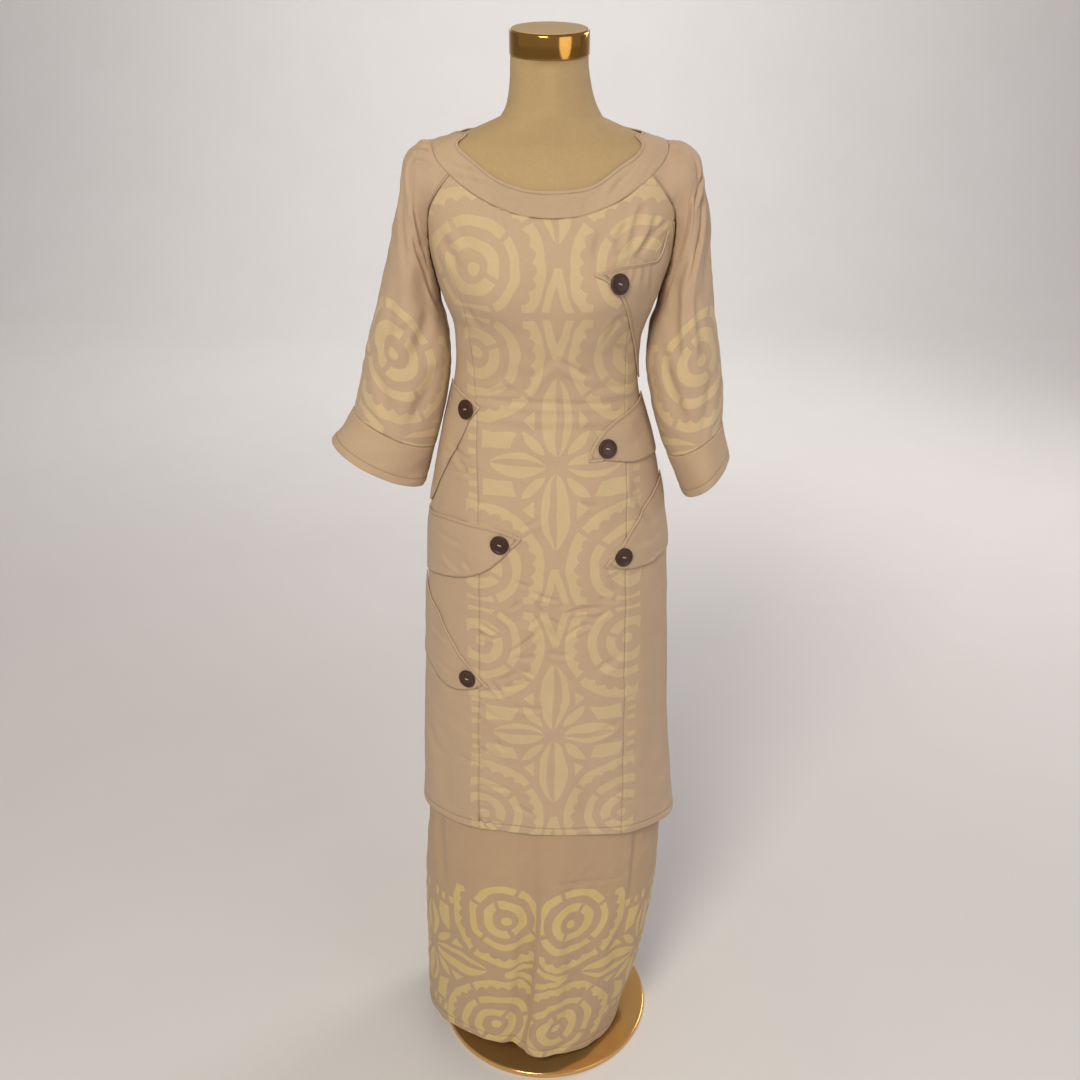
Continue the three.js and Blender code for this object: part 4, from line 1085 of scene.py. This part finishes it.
# Creases in the tabs alone.
TAB_CREASES = [
    (100, 1296, 92, 1282, 2.5, 1.2, 0), (110, 1298, 104, 1276, 3, 1.4, 0),
    (120, 1298, 118, 1270, 3, 1.4, 0), (130, 1300, 130, 1262, 3, 1.2, 0),
    (139, 1250, 124, 1180, 5, 1.6, 3), (-156, 931, -117, 925, 3.4, 1.6, 3),
    (-145, 901, -119, 884, 3.4, 1.8, 3), (-114, 901, -103, 886, 3, 1.4, 1),
    (115, 926, 160, 926, 4, 1.5, 4), (133, 893, 159, 899, 3.4, 1.4, 2),
    (-168, 775, -137, 773, 3.4, 1.8, 3), (-162, 730, -129, 724, 4, 1.4, 3),
    (87, 1070, 122, 1056, 4, 1.4, 3),
]


def tab_outline(tab):
    """The ring of a tab's plan: place, level, and 1 where the edge has no piping."""
    outline = []
    for key in ("upper", "lower"):
        line = catmull([(tab["side"] * x, z) for x, z in tab[key]], TAB_STEPS)
        angle = front_angle(line[:, 0], line[:, 1])
        seam = np.radians(RAGLAN_FRONT["deg"][::-1])
        most = np.interp(line[:, 1], RAGLAN_FRONT["z"][::-1], seam) - 0.004
        hidden = np.abs(angle) >= most
        if key == "lower":
            hidden[: TAB_STEPS * (tab.get("plain", 0) - 1)] = True
        outline.append(np.stack([np.clip(angle, -most, most) * TAB_ARC, line[:, 1], hidden], -1))
    upper, lower = outline
    ring = np.vstack([upper, lower[::-1][1:]])
    keep = [0]
    for i in range(1, len(ring)):
        if np.linalg.norm((ring[i] - ring[keep[-1]])[:2]) > 1.6:
            keep.append(i)
    ring = ring[keep]
    return ring[:-1] if np.linalg.norm((ring[0] - ring[-1])[:2]) < 1.2 else ring


def from_lines(points, starts, runs):
    """For each point and each straight run: how far along the run it lies, from 0 to 1, and how far off."""
    rel = points[:, None] - starts[None]
    u = np.clip((rel * runs).sum(-1) / (runs**2).sum(-1), 0, 1)
    return u, np.linalg.norm(rel - u[..., None] * runs[None], axis=-1)


def points_inside(ring):
    """Points 3.2 apart in staggered rows, inside a ring and clear of it."""
    low, high = ring.min(0), ring.max(0)
    xs, zs = np.arange(low[0], high[0], 3.2), np.arange(low[1], high[1], 3.2)
    inner = np.array([(x + (i % 2) * 1.6, z) for i, z in enumerate(zs) for x in xs])
    segment = np.roll(ring, -1, 0) - ring
    gap = from_lines(inner, ring, segment)[1].min(1)
    above = ring[None, :, 1] > inner[:, None, 1]
    rise = np.where(segment[:, 1] == 0, 1e-9, segment[:, 1])
    cut = ring[:, 0] + (inner[:, None, 1] - ring[:, 1]) / rise * segment[:, 0]
    inside = ((above != np.roll(above, -1, 1)) & (inner[:, None, 0] < cut)).sum(1) % 2 == 1
    return inner[inside & (gap > 1.7)]


def tab_piece(name, tab):
    ring = tab_outline(tab)
    # The edges with piping.
    free = ring[ring[:, 2] == 0, :2]
    ring = ring[:, :2]
    flat = np.vstack([ring, points_inside(ring)])
    found = delaunay_2d_cdt([Vector(v) for v in flat], [], [list(range(len(ring)))], 1, 1e-4)
    flat = np.array([tuple(v) for v in found[0]])
    run = np.diff(free, axis=0)
    long = np.linalg.norm(run, axis=1)
    joined = long < 30
    run, long = run[joined], long[joined]
    u, far = from_lines(flat, free[:-1][joined], run)
    nearest, distance = far.argmin(1), far.min(1)
    before = np.concatenate([[0], np.cumsum(long)])
    along = before[nearest] + u[np.arange(len(flat)), nearest] * long[nearest]
    s, z = flat[:, 0], flat[:, 1]
    lift = LIFT + 0.5 * smooth(0, 7, distance) - 0.5 * bump(distance - 3.4, 1.2)
    lift = lift + puckers(distance, along, 6, 11, 0.28, 90 + int(z.mean())) + 0.35 * waves(s, z, 46, 92)
    points = tab_point(s, z, lift)
    outward = normal_of(tunic, s / TAB_ARC, z)
    points = points + outward * (creases(points, TAB_CREASES).clip(-0.9, 2.5))[:, None]
    tri = np.array([list(f) for f in found[2]])
    a, b, c = points[tri[:, 0]], points[tri[:, 1]], points[tri[:, 2]]
    flip = (np.cross(b - a, c - a) * outward[tri[:, 0]]).sum(-1) < 0
    tri[flip] = tri[flip][:, ::-1]
    layers = {"weave": np.stack([s, z], -1), "line": np.stack([distance - 3.4, along], -1)}
    piece = make(f"tab_cloth_{name}", points, tri.tolist(), layers, COTTON, 1.1)
    edge = tab_point(free[:, 0], free[:, 1], np.full(len(free), LIFT - 0.3))
    runs = np.split(edge, np.where(np.linalg.norm(np.diff(edge, axis=0), axis=1) > 25)[0] + 1)
    for i, path in enumerate(r for r in runs if len(r) > 6):
        tube(f"tab_piping_{name}_{i}", path, 1.05, PIPING)
    sheet(piece, f"tab_{name}")


# A button's radius and height, from the middle of its dished face over the rim to its back.
BUTTON_PROFILE = [
    (0, 2.4), (1, 2.4), (1.8, 2.4), (2.4, 2.4), (3, 2.4), (3.6, 2.4), (4.2, 2.4), (5, 2.42),
    (6.2, 2.45), (7.4, 2.5), (8.6, 2.62), (9.4, 2.85), (10, 3.15), (10.6, 3.35), (11.2, 3.42),
    (11.8, 3.4), (12.3, 3.3), (12.7, 3.1), (12.95, 2.8), (13, 2.4), (13, 0.9), (12.9, 0.4),
    (12.4, 0.1), (0, 0.1),
]


def button_piece(name, tab):
    side, (x, z) = tab["side"], tab["button"]
    angle = front_angle(side * x, z)
    normal = normal_of(tunic, angle, np.float64(z))
    centre = tunic(angle, np.float64(z))
    centre = centre + normal * (body_folds(centre[None])[0] * 0.6 + LIFT + max(tab["seat"], 0.3))
    turn = Vector((0, 0, 1)).rotation_difference(Vector(normal)).to_matrix()
    spin = np.array(turn @ Matrix.Rotation(math.radians(18 * side), 3, "Z"))

    def place(points):
        return points @ spin.T + centre

    disc = lathe(f"button_disc_{name}", BUTTON_PROFILE[::-1], 64, COCONUT, place)
    stands_for(disc, f"button_{name}")
    # Each hole is a flat near-black disc on the face: painted shade inside the hole.
    ring = [(0, 0), (1.15, 0), (1.15, 0.02), (0, 0.02)]
    for i, aside in enumerate((-2.5, 2.5)):
        at = np.array([aside, 0, 2.43])
        hole = lathe(f"button_hole_shade_{name}_{i}", ring, 20, HOLE_SHADE, lambda points, at=at: place(points + at))
    bend = np.linspace(0, math.pi, 12)
    path = np.stack([-2.5 * np.cos(bend), 0.35 * np.sin(2 * bend), 2.4 + 0.75 * np.sin(bend)], -1)
    for i, off in enumerate((-0.4, 0.4)):
        thread = tube(f"button_thread_{name}_{i}", place(path + np.array([0, off, 0])), 0.42, PIPING)


# Near-black with a little noise: painted shade for the buttons' holes.
def hole_shade_look():
    look = Look("hole_shadow", 0.9)
    look.colour(look.mix(look.noise(1, 1.0, 1.0), linear((14, 8, 5)), linear((26, 15, 10))))
    return look.material


HOLE_SHADE = hole_shade_look()


def skirt_piece(name, start, end):
    across = 128
    angle = np.radians(np.linspace(start + 0.06, end - 0.06, across))[None, :]
    z = np.concatenate([np.linspace(0, 24, 19), np.linspace(28, BAND_BOTTOM, 250)])[:, None]
    hem = skirt_hem(angle) + 1.2 * waves(angle * 170, 0 * angle, 60, 121)
    angle, level = np.broadcast_arrays(angle, bent(z, hem, SKIRT_FREE))
    p = skirt(angle, level)
    wide, tall = arcs(p, 1), arcs(p, 0)
    front = name == "front"
    free = 1 - smooth(420, 700, level)
    lift = creases(p, SKIRT_CREASES if front else SKIRT_BACK_CREASES)
    lift = lift * np.clip(np.abs(p[..., 1]) / 60, 0, 1)
    ripple = 1.5 * waves(wide, level * 0.2, 80, 101 + front) + 0.6 * waves(wide, level, 30, 103 + front)
    lift = lift + free * ripple
    lift = lift * (1 - smooth(700, 1000, level))
    lift = lift + seam_roll(wide, wide[:, -1:] - wide) * (1 - smooth(1000, 1060, level))
    lift = lift + hem_roll(tall, SKIRT_TURN)
    lift = lift - 0.6 * bump(level - SKIRT_BAND, 1.6) + 0.3 * bump(level - SKIRT_BAND + 5, 3)
    lift = lift + puckers(np.abs(tall - SKIRT_TURN), wide, 9, 13, 0.7, 111 + front)
    p = p + grid_normals(p) * lift[..., None]
    middle = np.interp(0 if front else 180, np.degrees(angle[0]), np.arange(across))
    at_middle = arcs(p, 1)[:, int(middle)][:, None]
    weave = np.stack([level - SKIRT_FLOWER, arcs(p, 1) - at_middle - 200], -1)
    piece = cloth(f"skirt_cloth_{name}", p, weave, away(p.shape[:2], tall - SKIRT_TURN, wide), SKIRT_PRINT)
    sheet(piece, f"skirt_{name}")


def waist_band():
    a = np.linspace(0, 2 * math.pi, 160, endpoint=False)[None, :]
    z = np.linspace(BAND_BOTTOM + 0.3, WAIST, 10)[:, None]
    a, z = np.broadcast_arrays(a, z)
    p = off_surface(form, a, z, SKIRT_EASE)
    wide, tall = arcs(p, 1), arcs(p, 0)
    weave = np.stack([wide, tall], -1)
    piece = cloth("skirt_band", p, weave, away(p.shape[:2], tall - 3, wide), COTTON, True)
    sheet(piece, "waistband")


def cap_point(radius, level, angle):
    lean, reach = math.radians(CAP_TILT), radius * np.cos(angle)
    return np.stack([radius * np.sin(angle), -reach * math.cos(lean), level - reach * math.sin(lean)], -1)


def dress_form():
    across = 120
    a = np.linspace(math.pi, 3 * math.pi, across, endpoint=False)[None, :]
    rounded = [700, 701.5, 703.5, 706, 710, 716, 722, 730, 740]
    low = np.concatenate([rounded, np.arange(752, 1467, 6), [1467]])
    angle, z = np.broadcast_arrays(a, low[:, None])
    body = form(angle, z)
    neck = section(NECK, *np.broadcast_arrays(a, NECK["z"][:, None]))
    top = cap_point(*np.broadcast_arrays(48, NECK_TOP - 0.35, a))
    # A smooth line from the shoulders through the neck's rings to its top.
    rough = np.concatenate([body[-1:], neck, top.reshape(1, across, 3)])
    last = len(rough) - 1
    part = np.linspace(0, last, 34)
    i = np.clip(part.astype(int), 0, last - 1)
    before, after = rough[np.maximum(i - 1, 0)], rough[np.minimum(i + 2, last)]
    high = cubic(before, rough[i], rough[i + 1], after, (part - i)[:, None, None])
    p = np.concatenate([body[:-1], high])
    turn = np.broadcast_to(a, p.shape[:2])
    aside = np.abs(np.abs(np.arctan2(np.sin(turn), np.cos(turn))) - math.pi / 2)
    seams = aside * np.linalg.norm(p[..., :2], axis=-1)
    p = p - grid_normals(p, True) * (0.5 * bump(seams, 1.6))[..., None]
    ends = [np.broadcast_to(row.mean(0), (1, across, 3)) for row in (p[0], p[-1])]
    p = np.concatenate([ends[0], p, ends[1]])
    seams = np.concatenate([seams[:1] + UNSTITCHED, seams, seams[-1:] + UNSTITCHED])
    wide, tall = arcs(p, 1), arcs(p, 0)
    layers = {
        "weave": np.stack([wide, tall], -1).reshape(-1, 2),
        "line": np.stack([np.abs(seams) - 3.2, tall], -1).reshape(-1, 2),
    }
    piece = make("dress_form", p.reshape(-1, 3), grid_faces(len(p), across, True), layers, LINEN)
    stands_for(piece, "form_torso")


def tilted(points):
    """Points of a turned piece at the neck's top, leaning with the cap."""
    radius = np.linalg.norm(points[..., :2], axis=-1)
    return cap_point(radius, points[..., 2], np.arctan2(points[..., 0], -points[..., 1]))


def stand():
    rim = [
        (0, 0), (48.6, 0), (49.3, 0.3), (49.5, 1.2), (49.5, 25),
        (49.3, 26.2), (48.6, 26.8), (47.8, 27), (0, 27),
    ]
    lid = [(0, 27.3), (46.6, 27.3), (47, 27.8), (46.8, 28.4), (45.6, 29), (43.5, 29.4), (0, 29.6)]
    top = {"cap_band": (rim, GOLD, "neck_cap", "gold"), "cap_lid": (lid, LINEN, "neck_lid", "linen")}
    for name, (rises, material, node, slot) in top.items():
        profile = [(radius, NECK_TOP + rise) for radius, rise in rises]
        stands_for(lathe(name, profile, 128, material, tilted), node)
    pole_top = FORM_BOTTOM - 9.6
    turned = {
        "flange_disc": ("form_flange", "linen", LINEN, [
            (0, 690.7), (64.5, 690.7), (65.6, 691.2), (66, 692.4),
            (66, 698), (65.6, 699.2), (64.5, 699.7), (0, 699.7),
        ]),
        "pole_tube": ("pole", "gold", GOLD, [
            (0, 9.3), (10.6, 9.3), (11, 9.8), (11, 200), (11, 400),
            (11, pole_top - 0.6), (10.6, pole_top), (0, pole_top),
        ]),
        "pole_ring": ("pole_collar", "gold", GOLD, [
            (11.4, 9.3), (20.4, 9.3), (21, 9.9), (21, 13.2), (20.4, 14.2), (18, 16.4), (16.2, 18.6),
            (15.4, 22), (15, 30), (14.9, 34.4), (14.4, 35), (11.9, 35), (11.4, 34.5), (11.4, 9.3),
        ]),
        "base_disc": ("base", "gold", MIRROR, [
            (0, 0), (BASE_RADIUS - 1.4, 0), (BASE_RADIUS - 0.4, 0.4), (BASE_RADIUS, 1.4),
            (BASE_RADIUS, 6.2), (BASE_RADIUS - 0.3, 7.4), (BASE_RADIUS - 1, 8.3),
            (BASE_RADIUS - 2.2, 8.85), (BASE_RADIUS - 3.6, BASE_THICK), (0, BASE_THICK),
        ]),
    }
    for name, (node, slot, material, profile) in turned.items():
        stands_for(lathe(name, profile, 160, material), node)


tunic_front()
tunic_side(-1, "right")
tunic_side(1, "left")
tunic_back()
neck_band()
for arm in ("right", "left"):
    sleeve_piece(arm)
    cuff_piece(arm)
for tab_name, tab_rows in TABS.items():
    tab_piece(tab_name, tab_rows)
    button_piece(tab_name, tab_rows)
waist_band()
skirt_piece("front", -90, 90)
skirt_piece("back", 90, 270)
dress_form()
stand()


# Floor, light and camera.
def floor():
    """A pale floor that curves up into a wall far behind."""
    bend = np.linspace(0, math.pi / 2, 16)
    line = [(-60, 0), *zip(5 + 2.5 * np.sin(bend), 2.5 - 2.5 * np.cos(bend)), (7.5, 12)]
    points = [(x, y, z) for y, z in line for x in (-60, 60)]
    faces = [(2 * i, 2 * i + 1, 2 * i + 3, 2 * i + 2) for i in range(len(line) - 1)]
    mesh = bpy.data.meshes.new("floor")
    mesh.from_pydata(points, [], faces)
    mesh.shade_smooth()
    piece = bpy.data.objects.new("floor", mesh)
    bpy.context.scene.collection.objects.link(piece)
    look = Look("floor_pale", 0.8)
    look.colour(look.mix(look.noise(400, 2.0, 1.0), linear((222, 219, 214)), linear((228, 225, 221))))
    mesh.materials.append(look.material)


def lamp(name, place, target, size, power, colour):
    light = bpy.data.lights.new(name, "AREA")
    light.shape = "DISK"
    light.size = size
    light.energy = power
    light.color = colour
    piece = bpy.data.objects.new(name, light)
    piece.location = place
    piece.rotation_euler = (Vector(target) - Vector(place)).to_track_quat("-Z", "Y").to_euler()
    bpy.context.scene.collection.objects.link(piece)


floor()
lamp("key", (-0.9, -2.7, 3.3), (0, 0, 0.9), 1.3, 84, (1.0, 0.93, 0.81))
lamp("fill", (2.4, -2.4, 1.7), (0, 0, 0.8), 2.2, 17, (0.98, 0.93, 1.0))
lamp("back", (2.7, 2.3, 2.6), (0, 0, 1.0), 1.8, 46, (1.0, 0.96, 0.95))
lamp("wall", (0, 3.4, 4.4), (0, 7.4, 1.6), 3.0, 150, (1.0, 1.0, 1.0))

world = bpy.data.worlds.new("studio")
world.use_nodes = True
world.node_tree.nodes["Background"].inputs["Color"].default_value = (0.9, 0.86, 0.93, 1)
world.node_tree.nodes["Background"].inputs["Strength"].default_value = 0.34
bpy.context.scene.world = world
bpy.context.scene.view_settings.view_transform = "Standard"

camera = bpy.data.cameras.new("camera")
camera.sensor_width = 36
camera.lens = 1124.5 * 36 / 1080
camera.shift_x = -7 / 1080
camera.clip_start = 0.05
viewer = bpy.data.objects.new("camera", camera)
viewer.matrix_world = (
    Matrix.Translation((0, -1.5, 1.55))
    @ Matrix.Rotation(math.radians(90 - 23.9), 4, "X")
    @ Matrix.Rotation(math.radians(0.29), 4, "Z")
)
bpy.context.scene.collection.objects.link(viewer)
bpy.context.scene.camera = viewer
